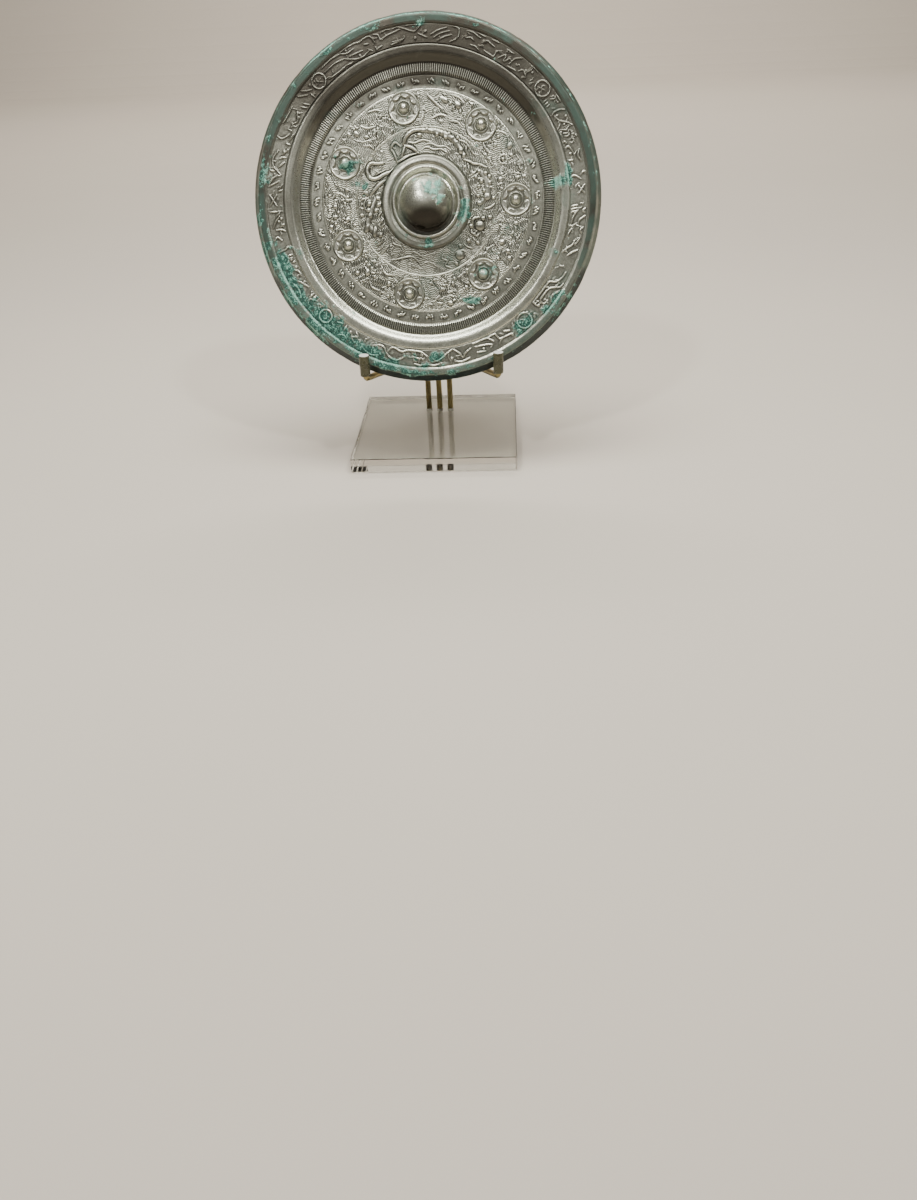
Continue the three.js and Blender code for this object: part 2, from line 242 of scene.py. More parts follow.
def weather(thing, local, raised):
    """Stores crust, film (with a painted dark reflection), tarnish (with painted shade) and how far each
    point stands out (with painted light). The plain back has its own.
    """
    x, y = local[:, 0], local[:, 1]
    front = {"crust": crust_at(x, y), "film_and_painted_reflection": film_and_painted_reflection_at(x, y), "tarnish_and_painted_shade": tarnish_and_painted_shade_at(x, y)}
    front["raised"] = raised
    back = {
        "crust": ease((cloud(x, y, 34, 101) - 0.6) / 0.14),
        "film_and_painted_reflection": 0.85 * ease((cloud(x, y, 45, 107) - 0.3) / 0.35),
        "tarnish_and_painted_shade": 0.75 * cloud(x, y, 28, 113),
        "raised": np.full_like(x, 0.6),
    }
    behind = ease((BACK_STARTS - local[:, 2]) / 0.3)
    for name in front:
        values = front[name] * (1 - behind) + back[name] * behind
        layer = thing.data.attributes.new(name, "FLOAT", "POINT")
        layer.data.foreach_set("value", np.asarray(values, np.float32))


# %% [markdown]
# ## Sums in a material
# A material is a graph of nodes, and sums in it soon fill the screen. This class wraps a socket, so that
# Python's own signs add the Math nodes: `1 - mask * 0.5` makes two. Its one method, `add`, makes any
# other node from its type, its settings and its sockets.

# %% A socket that can be added and multiplied
class Wire:
    def __init__(self, tree, socket=None):
        self.tree, self.socket = tree, socket

    def add(self, kind, settings=None, sockets=None, out=0):
        node = self.tree.nodes.new(kind)
        for key, value in (settings or {}).items():
            setattr(node, key, value)
        for key, value in (sockets or {}).items():
            if isinstance(value, Wire):
                self.tree.links.new(value.socket, node.inputs[key])
            else:
                node.inputs[key].default_value = value
        return Wire(self.tree, node.outputs[out] if node.outputs else None)

    def sum(self, operation, a, b):
        return self.add("ShaderNodeMath", {"operation": operation}, {0: a, 1: b})

    def __add__(self, other):
        return self.sum("ADD", self, other)

    def __sub__(self, other):
        return self.sum("SUBTRACT", self, other)

    def __rsub__(self, other):
        return self.sum("SUBTRACT", other, self)

    def __mul__(self, other):
        return self.sum("MULTIPLY", self, other)

    __radd__, __rmul__ = __add__, __mul__


# %% [markdown]
# A few small helpers say the rest in words: a mask that eases from 0 to 1, a mix of two colours, a noise
# on Object coordinates, its swing to both sides of nothing, a stored attribute, a bump, and the step
# that turns a shader into a finished material.

# %% Masks, mixes and grain
def rising(value, start, end):
    sockets = {"Value": value, "From Min": start, "From Max": end}
    return value.add("ShaderNodeMapRange", {"interpolation_type": "SMOOTHSTEP"}, sockets)


def mixed(mask, first, second):
    return mask.add("ShaderNodeMix", {"data_type": "RGBA"}, {0: mask, 6: first, 7: second}, out=2)


def grain(wire, per_metre, detail=3.0, rough=0.55):
    place = wire.add("ShaderNodeTexCoord", out=3)
    sockets = {"Vector": place, "Scale": per_metre, "Detail": detail, "Roughness": rough}
    return wire.add("ShaderNodeTexNoise", {}, sockets)


def swing(noise, size):
    return (noise - 0.5) * size


def stored(wire, name):
    return wire.add("ShaderNodeAttribute", {"attribute_name": name}, out=2)


def bumpy(height, depth, strength):
    return height.add("ShaderNodeBump", {}, {"Height": height, "Distance": depth, "Strength": strength})


def new_material(name):
    material = bpy.data.materials.new(name)
    material.use_nodes = True
    material.node_tree.nodes.clear()
    return material, Wire(material.node_tree)


def surface(wire, **sockets):
    named = {key.replace("_", " "): value for key, value in sockets.items()}
    shader = wire.add("ShaderNodeBsdfPrincipled", {}, named)
    wire.add("ShaderNodeOutputMaterial", {}, {"Surface": shader})


# %% [markdown]
# ## Old bronze
# High-tin bronze is a silvery grey metal. Where it stands proud it is rubbed bright, and hollows keep a
# brown-black dirt. The same bright and dark colours also paint a highlight on the knob's upper half, a
# sheen on the slope and shade on the knob's lower half. Tarnish dulls it to a dark warm grey, and also
# paints shade on the upper rim, slope and comb. A thin film turns it dark green, and on the lower
# bevelled side near black as a painted dark reflection. The crust on top is a dull turquoise that isn't
# metal at all. So the graph mixes these colours in that order and lets the crust switch the metal off. A
# fine bump gives the pitted skin, and a coarser one lifts the crust.

# %% The bronze material
# Some of these colours also paint light and shade: the dirt paints shade on the knob's lower half, the
# warm tarnish paints shade on the upper rim, slope and comb, and the dark edge paints a dark reflection
# on the lower side.
BRIGHT_METAL = (0.56, 0.565, 0.47, 1)
DULL_METAL = (0.115, 0.117, 0.094, 1)
DIRT_AND_PAINTED_SHADE = (0.02, 0.019, 0.014, 1)
WARM_TARNISH_AND_PAINTED_SHADE = (0.03, 0.025, 0.018, 1)
GREEN_FILM = (0.035, 0.075, 0.058, 1)
DARK_FILM_AND_PAINTED_REFLECTION = (0.003, 0.011, 0.009, 1)
PALE_TURQUOISE = (0.30, 0.56, 0.45, 1)
TURQUOISE = (0.085, 0.235, 0.18, 1)
DEEP_GREEN = (0.012, 0.055, 0.042, 1)

bronze, wire = new_material("old_bronze")
raised, stored_film_and_reflection = stored(wire, "raised"), stored(wire, "film_and_painted_reflection")
fine, broad, speck = grain(wire, 1500), grain(wire, 140, 4), grain(wire, 420, 5, 0.65)
crust = rising(stored(wire, "crust") + swing(speck, 1.5) + swing(fine, 0.8), 0.32, 0.92)
film_and_painted_reflection = rising(stored_film_and_reflection + swing(speck, 0.5) + swing(broad, 0.5), 0.25, 0.95)
tarnish_and_painted_shade = rising(stored(wire, "tarnish_and_painted_shade") + swing(broad, 0.5), 0.15, 0.95)
# Rubbed bright where the relief stands out. The same mask paints the highlight on the knob's upper half
# and the sheen on the slope.
rubbed_and_painted_sheen = rising(raised + swing(fine, 0.35) + swing(broad, 0.3), 0.22, 0.8)
# Dirt in the hollows. The same mask paints shade on the knob's lower half.
hollow_and_painted_shade = rising(0.5 - raised + swing(speck, 0.4), 0.0, 0.42)
metal = mixed(rubbed_and_painted_sheen, DULL_METAL, BRIGHT_METAL)
metal = mixed(hollow_and_painted_shade * 0.85, metal, DIRT_AND_PAINTED_SHADE)
# Tarnish, which also paints shade on the upper rim, slope and comb and under the knob.
metal = mixed(tarnish_and_painted_shade * (0.93 - rising(raised, 0.88, 1.0) * 0.35), metal, WARM_TARNISH_AND_PAINTED_SHADE)
metal = mixed(film_and_painted_reflection * 0.75, metal, GREEN_FILM)
# Near black with the metal switched off on the lower side: a painted dark reflection over the film.
edge = rising(stored_film_and_reflection, 0.86, 0.95)
metal = mixed(edge, metal, DARK_FILM_AND_PAINTED_REFLECTION)
# The crust is paler on the relief, and on the knob's upper half as a painted highlight.
green = mixed(rising(speck + swing(fine, 0.9) + swing(raised, 0.5), 0.42, 0.66), DEEP_GREEN, TURQUOISE)
pale = rising(speck * 0.5 + fine * 0.7 + swing(raised, 0.4), 0.6, 0.8)
green = mixed(pale * 0.9, green, PALE_TURQUOISE)
dulled = 0.36 + crust * 0.34 + tarnish_and_painted_shade * 0.05 + film_and_painted_reflection * 0.12 + hollow_and_painted_shade * 0.2
surface(
    wire,
    Base_Color=mixed(crust, metal, green),
    Specular_IOR_Level=0.3,
    Metallic=(1 - crust) * (0.95 - tarnish_and_painted_shade * 0.25 - hollow_and_painted_shade * 0.4) * (1 - film_and_painted_reflection * 0.6) * (1 - edge),
    Roughness=dulled + swing(fine, 0.2) - rubbed_and_painted_sheen * 0.08,
    Normal=bumpy(fine * 0.35 + speck * 0.5 + crust * speck * 2.2, 0.00035, 0.55),
)
print("bronze nodes:", len(bronze.node_tree.nodes))

# %% [markdown]
# ## The disc
# The disc is a turned form: one section, spun about its middle. The section runs from the knob's seat out
# over the raised rings, the ground, the comb's shelf, the slope and the rim to the bevelled side, and
# back across the slightly bulging mirror face. Bands that get their own carved ring are sunk a little
# here. A Screw modifier would be the plain choice, but writing the points lets the rim be worn and
# slightly out of true.

# %% The section of the disc
GROUND, BAND = -3.9, -0.4  # levels of the carved ground and of the rim's band
SUNK = 0.45  # how much lower the disc lies under a carved ring
BULGE, BACK_EDGE = 1.6, (106.9, -7.5)  # swelling of the mirror face, and the section's last corner
# each point: radius, height over the ground
INNER_SECTION = [
    (0, -2), (16.9, -0.7), (18.3, 0.3), (19.4, 2.1), (20.6, 2.1), (21.8, 0.3), (23.4, 1.35), (24.3, 1.2),
    (25.8, 1.05), (26.6, 1.2), (27.6, -0.1), (28.1, -SUNK), (42.2, -SUNK), (42.5, 0.1), (42.85, 0.65),
    (43.15, 0.65), (43.5, 0.1), (43.9, -SUNK), (62.9, -SUNK), (63.3, 0.1), (63.55, 0.35), (63.8, 0.35),
    (64.1, 0.05), (64.5, -SUNK), (71.0, -SUNK), (71.4, -0.3), (72.0, -0.1), (78.3, -0.05), (79.0, 0.2),
    (79.8, 0.95), (81.0, 2.2), (82.1, 3.15), (83.0, 3.6),
]
# each point: radius, level
RIM_SECTION = [
    (84.2, -0.15), (86.2, -0.1), (86.8, 0.05), (87.2, -0.1), (87.6, BAND - 0.5), (88.2, BAND - SUNK),
    (97.7, BAND - SUNK), (98.6, BAND - 0.35), (99.2, 0.1), (99.8, 0.0), (102.9, 0.0), (103.4, -0.25),
    (107.0, -6.7), (107.2, -7.1), BACK_EDGE,
]
SECTION = [(r, GROUND + rise) for r, rise in INNER_SECTION] + RIM_SECTION
KNOB_COVERS = 17  # inside this radius the knob hides the disc, and few points are enough
SPACING, HIDDEN_SPACING, BACK_STEPS = 0.44, 4, 18
SPOKES = 384


def section_points():
    """Evenly spaced points along the section, and on along the bulging back to the middle."""
    points = []
    for (r0, z0), (r1, z1) in zip(SECTION, SECTION[1:]):
        spacing = SPACING if r0 > KNOB_COVERS else HIDDEN_SPACING
        steps = max(1, round(math.hypot(r1 - r0, z1 - z0) / spacing))
        points += [(r0 + (r1 - r0) * k / steps, z0 + (z1 - z0) * k / steps) for k in range(steps)]
    radius, level = BACK_EDGE
    outwards = [1 - k / BACK_STEPS for k in range(BACK_STEPS + 1)]
    return np.array(points + [(radius * t, level - BULGE * (1 - t**2)) for t in outwards])


def rounded(points, passes=2):
    """Softens the corners of a section without moving its ends."""
    out = points.copy()
    for _ in range(passes):
        out[1:-1] = out[1:-1] * 0.5 + (out[:-2] + out[2:]) * 0.25
    return out


def turns(steps):
    return np.arange(steps) * math.tau / steps


def round_axis(radius, turn, level):
    """Points at a radius and a turn about the middle, at a level."""
    x, y, z = np.broadcast_arrays(radius * np.cos(turn), radius * np.sin(turn), level)
    return np.stack([x, y, z], -1)


section = rounded(section_points())[1:-1]
turn = turns(SPOKES)
radius, level = section[:, :1], section[:, 1:]
x, y = radius * np.cos(turn), radius * np.sin(turn)
border = ease((radius - 99.5) / 3)
wear = border * ease((cloud(x, y, 7, 11) - 0.55) / 0.25) * 0.5
radius = radius * (1 - wear * 0.0035) - border * 0.25 * (cloud(x, y, 30, 17) - 0.5)
level = level + 0.22 * (cloud(x, y, 26, 23) - 0.5) * ease((radius - 28) / 4) - wear * 0.3
disc = round_axis(radius, turn, level)
print("disc section:", len(section), "points, outer radius", round(float(radius.max()), 2))

# %% [markdown]
# Spinning a section gives rows of four-sided faces, and a fan of triangles closes each end on the axis.
# The same functions serve the knob, the carved rings, the bosses, the rods and the sleeves.

# %% Faces of a spun form, and a bronze piece
def wall(first, second, spokes):
    """Four-sided faces between two rows of points round the axis, each given by its first point."""
    j = np.arange(spokes)
    k = (j + 1) % spokes
    return np.stack([first + j, second + j, second + k, first + k], -1).reshape(-1, 4)


def spun_faces(rows, spokes):
    """Faces of rows x spokes points, with a point on the axis at each end added after them."""
    row = np.arange(rows - 1)[:, None] * spokes
    top, bottom, last = rows * spokes, rows * spokes + 1, (rows - 1) * spokes
    pairs = [(j, (j + 1) % spokes) for j in range(spokes)]
    fans = [[top, a, b] for a, b in pairs] + [[bottom, last + b, last + a] for a, b in pairs]
    return wall(row, row + spokes, spokes).tolist() + fans


def cast(name, local, faces, raised, smooth=True):
    """A bronze piece from points of the mirror's own axes, weathered by where each point lies."""
    thing = new_object(name, new_mesh(name, on_stand(local), faces))
    seat(thing, "bronze_mirror", bronze, smooth)
    weather(thing, local, raised)
    return thing


ends = [[0, 0, SECTION[0][1]], [0, 0, BACK_EDGE[1] - BULGE]]
local = np.concatenate([disc.reshape(-1, 3), ends])
r = np.hypot(local[:, 0], local[:, 1])
# The ring tops are rubbed bright and also carry painted highlights. The slope beyond the comb gets a
# painted sheen, which is taken back from the rim on, and the ground under the comb is darker.
ring_tops = sum(np.exp(-(((r - top) / 0.55) ** 2)) for top in (20, 25, 43, 63.7, 87, 99.3, 104))
beyond_comb = ease((r - 78) / 1.5)
ledge = ease((r - 82.3) / 0.8)
under_comb = ease((r - 71.6) / 0.6) * (1 - beyond_comb)
relief_and_slope_sheen = np.clip(0.47 + ring_tops * 0.5 + 0.4 * beyond_comb - 0.4 * ledge - 0.2 * under_comb, 0, 1)
cast("mirror_disc", local, spun_faces(len(section), SPOKES), relief_and_slope_sheen)

# %% [markdown]
# ## The knob
# A cord once went through the domed knob, so a hole runs up and down through it, close to the ground. A
# height field can't hold a tunnel. The dome is therefore a spun form of its own, and a Boolean
# modifier takes a rounded bar out of it. The modifier's result is read back as a plain mesh, and where
# crust grows, its points swell a little away from the knob's heart.

# %% The pierced knob
KNOB_RADIUS, KNOB_BASE, KNOB_TOP = 15.6, GROUND + 0.7, 7.4
KNOB_HEART, KNOB_SPOKES = [0, 0, -6], 120
HOLE_WIDE, HOLE_TALL, HOLE_LIFT, HOLE_TURN = 6.0, 4.0, 2.9, math.radians(-14)
BAR_SIDES, BAR_REACH = 20, 22


def knob_section():
    lift = np.linspace(0.03, math.pi / 2, 34)
    dome = [(KNOB_RADIUS * math.sin(t), KNOB_BASE + (KNOB_TOP - KNOB_BASE) * math.cos(t)) for t in lift]
    seat_line = [(15.9, 0.3), (16.5, 0.0), (17.4, -0.2), (17.4, -1.2), (6, -1.2)]
    return np.array(dome + [(r, GROUND + rise) for r, rise in seat_line])


def spin(section, spokes):
    rows = round_axis(section[:, :1], turns(spokes), section[:, 1:])
    ends = [[0, 0, section[0, 1]], [0, 0, section[-1, 1]]]
    return np.concatenate([rows.reshape(-1, 3), ends]), spun_faces(len(section), spokes)


def cord_hole_bar():
    """A long bar with a rounded section, lying up and down the disc."""
    around, n = turns(BAR_SIDES), BAR_SIDES
    up = GROUND + HOLE_LIFT + HOLE_TALL / 2 * np.sin(around)
    ring = np.stack([HOLE_WIDE / 2 * np.cos(around), 0 * around, up], -1)
    ends = [ring + [0, -BAR_REACH, 0], ring + [0, BAR_REACH, 0]]
    c, s = math.cos(HOLE_TURN), math.sin(HOLE_TURN)
    points = np.concatenate(ends) @ np.array([[c, s, 0], [-s, c, 0], [0, 0, 1]])
    sides = [[i, (i + 1) % n, n + (i + 1) % n, n + i] for i in range(n)]
    return points, sides + [list(range(n))[::-1], list(range(n, 2 * n))]


def loose(name, points, faces):
    """An object with all its faces turned outwards."""
    mesh = new_mesh(name, points, faces)
    bm = bmesh.new()
    bm.from_mesh(mesh)
    bmesh.ops.recalc_face_normals(bm, faces=bm.faces)
    bm.to_mesh(mesh)
    bm.free()
    return new_object(name, mesh)


def settled(thing):
    """Points and faces of the shape that a thing's modifiers give. The thing itself goes."""
    bpy.context.view_layer.update()
    shown = thing.evaluated_get(bpy.context.evaluated_depsgraph_get())
    mesh = bpy.data.meshes.new_from_object(shown)
    flat = np.empty(len(mesh.vertices) * 3, np.float32)
    mesh.vertices.foreach_get("co", flat)
    faces = [list(face.vertices) for face in mesh.polygons]
    bpy.data.objects.remove(thing)
    bpy.data.meshes.remove(mesh)
    return flat.reshape(-1, 3).astype(float), faces


dome, bar = loose("dome", *spin(knob_section(), KNOB_SPOKES)), loose("bar", *cord_hole_bar())
cut = dome.modifiers.new("cord hole", "BOOLEAN")
cut.operation, cut.object, cut.solver = "DIFFERENCE", bar, "EXACT"
points, faces = settled(dome)
bpy.data.objects.remove(bar)
x, y, z = points.T
swelling = crust_at(x, y) * ease(z + 4) * (cloud(x, y, 2.2, 29) - 0.35) * 0.7
points = points + (points - KNOB_HEART) / 14 * swelling[:, None]
# The knob's upper half is painted bright as a highlight, and its lower half dark as shade.
knob = cast("knob", points, faces, 0.35 + 0.45 * ease((points[:, 1] + 9) / 12))
knob.data.set_sharp_from_angle(angle=math.radians(50))

# %% [markdown]
# ## Carving a ring
# The ornament lies in flat rings round the knob. Each ring becomes its own thin closed body whose top is
# a height field: a fine grid in rings and spokes, raised wherever a stroke or a lump passes. A
# stroke is a smooth line through a few chosen points (radius, angle), and its height falls off
# round it like half a bead. Sculpting by hand would give the same relief but couldn't be changed later.

# %% The carver
RING_DEPTH = 1.2  # how far a carved ring reaches into the disc
STEPS_PER_SPAN = 5  # points that a smooth line gets between two chosen ones


def polar(points):
    r, a = np.array(points, float).T
    return np.stack([r * np.cos(np.radians(a)), r * np.sin(np.radians(a))], -1)


def flowing(points):
    """A smooth line through the points."""
    if len(points) < 3:
        return points
    p = np.concatenate([[2 * points[0] - points[1]], points, [2 * points[-1] - points[-2]]])
    line = []
    for a, b, c, d in zip(p, p[1:], p[2:], p[3:]):
        square, cube = 2 * a - 5 * b + 4 * c - d, 3 * b - a - 3 * c + d
        for t in np.arange(STEPS_PER_SPAN) / STEPS_PER_SPAN:
            line.append(0.5 * (2 * b + (c - a) * t + square * t * t + cube * t**3))
    return np.array([*line, points[-1]])


class Ring:
    """A thin carved ring of the mirror, between two radii, on a level ground."""

    def __init__(self, inner, outer, rings, spokes, level):
        self.radius = np.linspace(inner, outer, rings)
        self.spokes, self.level = spokes, level
        turn = turns(spokes)
        self.x, self.y = self.radius[:, None] * np.cos(turn), self.radius[:, None] * np.sin(turn)
        self.height = np.zeros((rings, spokes))

    def window(self, line, reach):
        """Rows and columns of the grid that a line and its reach can touch."""
        r, a = np.hypot(*line.T), np.unwrap(np.arctan2(line[:, 1], line[:, 0]))
        rows = np.flatnonzero((self.radius > r.min() - reach) & (self.radius < r.max() + reach))
        pad = reach / max(r.min() - reach, 8)
        first, last = (np.array([a.min() - pad, a.max() + pad]) * self.spokes / math.tau).astype(int)
        return np.ix_(rows, np.arange(first, last + 2) % self.spokes)

    def stroke(self, points, wide, tall, taper=0.5):
        line = flowing(polar(points))
        here = self.window(line, wide)
        x, y = self.x[here][..., None], self.y[here][..., None]
        (x0, y0), (x1, y1) = line[:-1].T, line[1:].T
        dx, dy = x1 - x0, y1 - y0
        along = np.clip(((x - x0) * dx + (y - y0) * dy) / (dx**2 + dy**2 + 1e-9), 0, 1)
        away = np.hypot(x0 + along * dx - x, y0 + along * dy - y)
        nearest = away.argmin(-1)[..., None]
        away = np.take_along_axis(away, nearest, -1)[..., 0]
        t = (nearest + np.take_along_axis(along, nearest, -1))[..., 0] / len(dx)
        full = 1 - taper + taper * np.sin(math.pi * np.clip(t, 0.03, 0.97)) ** 0.6
        bead = tall * full * np.sqrt(np.clip(1 - (away / (wide / 2 * full)) ** 2, 0, 1))
        self.height[here] = np.maximum(self.height[here], bead)

    def lump(self, r, angle, long, short, tall, lie=0.0):
        """A rounded mound. lie turns its long side, in degrees from the radius."""
        centre = polar([(r, angle)])
        here = self.window(centre, long / 2 + 0.3)
        x, y = self.x[here] - centre[0, 0], self.y[here] - centre[0, 1]
        c, s = math.cos(math.radians(angle + lie)), math.sin(math.radians(angle + lie))
        d = ((x * c + y * s) / (long / 2)) ** 2 + ((y * c - x * s) / (short / 2)) ** 2
        self.height[here] = np.maximum(self.height[here], tall * np.clip(1 - d, 0, 1) ** 0.6)

    def creatures(self, strokes, mounds):
        for wide, tall, lines in strokes:
            for points in lines:
                self.stroke(points, wide, tall)
        for mound in mounds:
            self.lump(*mound)

    def combed(self, patches, pitch, tall, seed, wave=0.35):
        """Fine wavy lines that change their direction from patch to patch."""
        rng = np.random.default_rng(seed)
        r, a = rng.uniform(self.radius[0], self.radius[-1], patches), rng.uniform(0, math.tau, patches)
        lie = a + rng.normal(math.pi / 2, 0.7, patches)
        x = self.x + 3.4 * (cloud(self.x, self.y, 4, seed + 1) - 0.5)
        y = self.y + 3.4 * (cloud(self.x, self.y, 4, seed + 2) - 0.5)
        away = np.hypot(x[..., None] - r * np.cos(a), y[..., None] - r * np.sin(a))
        near = away.argmin(-1)
        away = np.partition(away, 1, -1)
        fade = 0.35 + 0.65 * ease((away[..., 1] - away[..., 0]) / 0.7)
        c, s = np.cos(lie)[near], np.sin(lie)[near]
        across, down = self.x * c + self.y * s, self.y * c - self.x * s
        phase = down / pitch + wave * np.sin(across * 1.3 + near)
        uneven = 0.55 + 0.9 * cloud(self.x, self.y, 3.2, seed + 3)
        hair = tall * fade * uneven * (0.5 + 0.5 * np.cos(math.tau * phase))
        self.height = np.maximum(self.height, hair)

    def curls(self, count, seed, wide=0.8, tall=0.6):
        """Small curls and knots, scattered at random."""
        rng = np.random.default_rng(seed)
        low, high = self.radius[0] + 1.6, self.radius[-1] - 1.6
        for _ in range(count):
            r, a, lie = rng.uniform(low, high), rng.uniform(0, 360), rng.uniform(0, math.tau)
            long, hook = rng.uniform(2.2, 4.2), rng.choice([-1, 1]) * rng.uniform(0.8, 2.2)
            t = np.linspace(-0.5, 0.5, 4)
            bow = hook * (0.25 - t**2) if rng.random() < 0.5 else hook * np.sin(math.tau * t) * 0.4
            radii = np.clip(r + long * t * math.sin(lie) + bow * math.cos(lie), low - 1, high + 1)
            angles = a + np.degrees((long * t * math.cos(lie) - bow * math.sin(lie)) / r)
            width, height = wide * rng.uniform(0.8, 1.3), tall * rng.uniform(0.7, 1.3)
            self.stroke(list(zip(radii, angles)), width, height)
            if rng.random() < 0.45:
                size = rng.uniform(1.3, 2.2)
                self.lump(r, a + rng.normal(0, 3), size, size * 0.85, tall * rng.uniform(1.0, 1.6))

    def worn(self, amount, seed):
        """Rubs the relief down here and there and where the crust is thick, and adds a fine roughness."""
        keep = 1 - amount * cloud(self.x, self.y, 14, seed)
        crust = crust_at(self.x, self.y)
        lumps = crust * (0.35 * (cloud(self.x, self.y, 2.6, seed + 9) - 0.3) + 0.1)
        skin = 0.05 * (cloud(self.x, self.y, 1.7, seed + 5) - 0.5)
        self.height = self.height * keep * (1 - 0.35 * crust) + lumps + skin

    def standing_out(self, full, reach=4):
        """1 where the relief stands above its own surroundings, 0 in hollows, about 0.5 between."""
        level = self.height
        for axis, mode in ((0, "edge"), (1, "wrap")):
            pad = [(0, 0), (0, 0)]
            pad[axis] = (reach, reach)
            wide, n = np.pad(level, pad, mode=mode), level.shape[axis]
            shifted = (np.take(wide, np.arange(k, k + n), axis) for k in range(2 * reach + 1))
            level = sum(shifted) / (2 * reach + 1)
        return np.clip(0.47 + (self.height - level) / full, 0, 1)

    def make(self, name, full):
        """Closes the ring underneath. Points that stand full mm above their surroundings are bright."""
        rows, n = self.height.shape
        top = np.stack([self.x, self.y, self.level + self.height], -1).reshape(-1, 3)
        depth = np.full(n, self.level - RING_DEPTH)
        under = [np.stack([self.x[i], self.y[i], depth], -1) for i in (0, -1)]
        row = np.arange(rows - 1)[:, None] * n
        last, inner, outer = (rows - 1) * n, rows * n, (rows + 1) * n
        sides = [wall(last, outer, n), wall(inner, 0, n), wall(outer, inner, n)]
        faces = np.concatenate([wall(row, row + n, n), *sides])
        raised = np.concatenate([self.standing_out(full).ravel(), np.zeros(2 * n)])
        cast(name, np.concatenate([top, *under]), faces.tolist(), raised)
        inside, outside = self.radius[0], self.radius[-1]
        print(f"  relief up to {self.height.max():.2f} mm on rings {inside:.1f} to {outside:.1f}")


# %% [markdown]
# ## The inner ring of beasts
# Next to the knob's seat run a coiled beast at the left, a crouching one over the top, whose bent knee
# makes a sharp triangle, and a scaly one at the right. They stand highest of all, so they are built
# from thick strokes and mounds on a finely combed ground.

# %% Strokes and mounds of the inner ring
# each row: width, height, and the strokes of that size, as points (radius, angle)
BEAST_STROKES = [
    (3.2, 1.2, [[(41, 97), (40.9, 90), (40.6, 80), (40.1, 72), (39, 64), (37, 56), (35.4, 49)]]),
    (4.0, 1.0, [[(36.4, 29), (38, 22), (38.8, 14), (37.6, 6), (35, 0), (33, 357)]]),
    (3.4, 1.0, [[(30.6, 172), (32.6, 180), (35, 189), (38.4, 198), (36.5, 207), (34, 213)]]),
    (2.5, 1.7, [
        [(34.8, 138.5), (37.7, 142.5), (40.4, 145), (41, 149.4), (40, 153), (37.7, 156), (35, 156),
        (32.6, 153), (30.7, 147.5), (28.8, 142.5), (27.6, 137.5)],
    ]),
    (2.3, 1.5, [[(34.6, 171), (31, 160), (28.4, 152)]]),
    (1.5, 1.5, [
        [(36.2, 124.6), (38, 122.4), (38.9, 117.5), (35.3, 114.6)],
        [(36.6, 123.2), (32.4, 124.4), (28.9, 126)], [(28.9, 126), (28.4, 117), (28.4, 108)],
        [(29.6, 119.6), (32, 114.5), (34.7, 110.4)],
    ]),
    (2.0, 1.8, [[(34.9, 110.6), (32.4, 104.6), (28.5, 98)]]),
    (1.3, 1.3, [[(29.7, 119.6), (28.6, 110), (28.5, 100)]]),
    (2.5, 1.8, [[(36.3, 111), (39.4, 106.5), (41.2, 100), (41.4, 93)]]),
    (1.2, 1.0, [[(36, 106), (34.5, 100), (35.5, 92), (34.5, 84)]]),
    (0.9, 0.9, [[(40, 62), (41.3, 53), (39.8, 43), (41.7, 38.5)]]),
    (1.5, 1.4, [[(33.4, 45), (35, 40), (36, 36), (38.8, 32), (41.6, 27)]]),
    (0.8, 0.8, [[(38, 30.5), (34, 28.6), (30, 28)], [(38, 27), (34, 25.6), (30.5, 25.4)]]),
    (0.9, 0.8, [
        [(41.5, 178), (39, 175.5), (36, 174.5)], [(37, 263), (35, 268), (35.6, 274), (38, 278)],
        [(41, 290), (38.5, 286), (36.5, 289), (34, 285), (32, 288)],
        [(30, 95), (31.5, 88), (30.4, 80), (31.6, 72), (30.6, 64)],
        [(29.4, 221), (31.6, 228), (30.2, 236), (32, 241)],
    ]),
    (0.9, 1.0, [[(31.5, 202), (28.4, 198)], [(31.5, 194.4), (28.2, 189.4)], [(32, 206), (28.8, 204)]]),
    (1.0, 0.9, [
        [(40, 235.6), (37.6, 240), (35, 245), (33, 252), (34, 258), (37, 263)],
        [(39, 315), (36, 312.8), (33.4, 312.5)], [(38, 309.4), (35.7, 307), (34.2, 301), (35.4, 297)],
        [(41.7, 52), (38, 49), (36.6, 44)], [(34, 215), (36.5, 218), (40, 217)],
        [(29, 167), (31, 170), (30.6, 176)],
    ]),
    (0.8, 0.7, [
        [(31, 247), (30, 255), (31.5, 263), (30.5, 271)],
        [(32.4, 92), (33.6, 84), (32.6, 76), (33.8, 68), (32.6, 60)],
    ]),
    (0.9, 0.7, [[(35, 225), (38.5, 225.4), (41.6, 225)], [(35, 221), (38.5, 221.6), (41.6, 221)]]),
    (1.3, 1.1, [
        [(41.7, 357), (39, 354), (36.1, 352.5)],
        [(37.3, 329), (36.8, 326.5), (34.6, 325.8), (32.4, 327), (32, 329)],
    ]),
    (1.9, 1.4, [[(33.8, 343.5), (31.2, 341.5), (30.3, 338), (31.4, 334.5)]]),
    (1.1, 1.0, [[(38.5, 16.5), (36.5, 20), (34.2, 22)], [(40.4, 172), (38, 168), (36.6, 163)]]),
    (1.1, 1.1, [[(42, 9), (40, 11), (38.6, 8)]]),
    (1.0, 1.0, [[(33.5, 40), (32, 34), (29.8, 31)], [(31.5, 143), (33.4, 148), (34.6, 151)]]),
    (1.2, 1.1, [[(37.4, 186), (38.6, 181), (37.6, 176)]]),
]
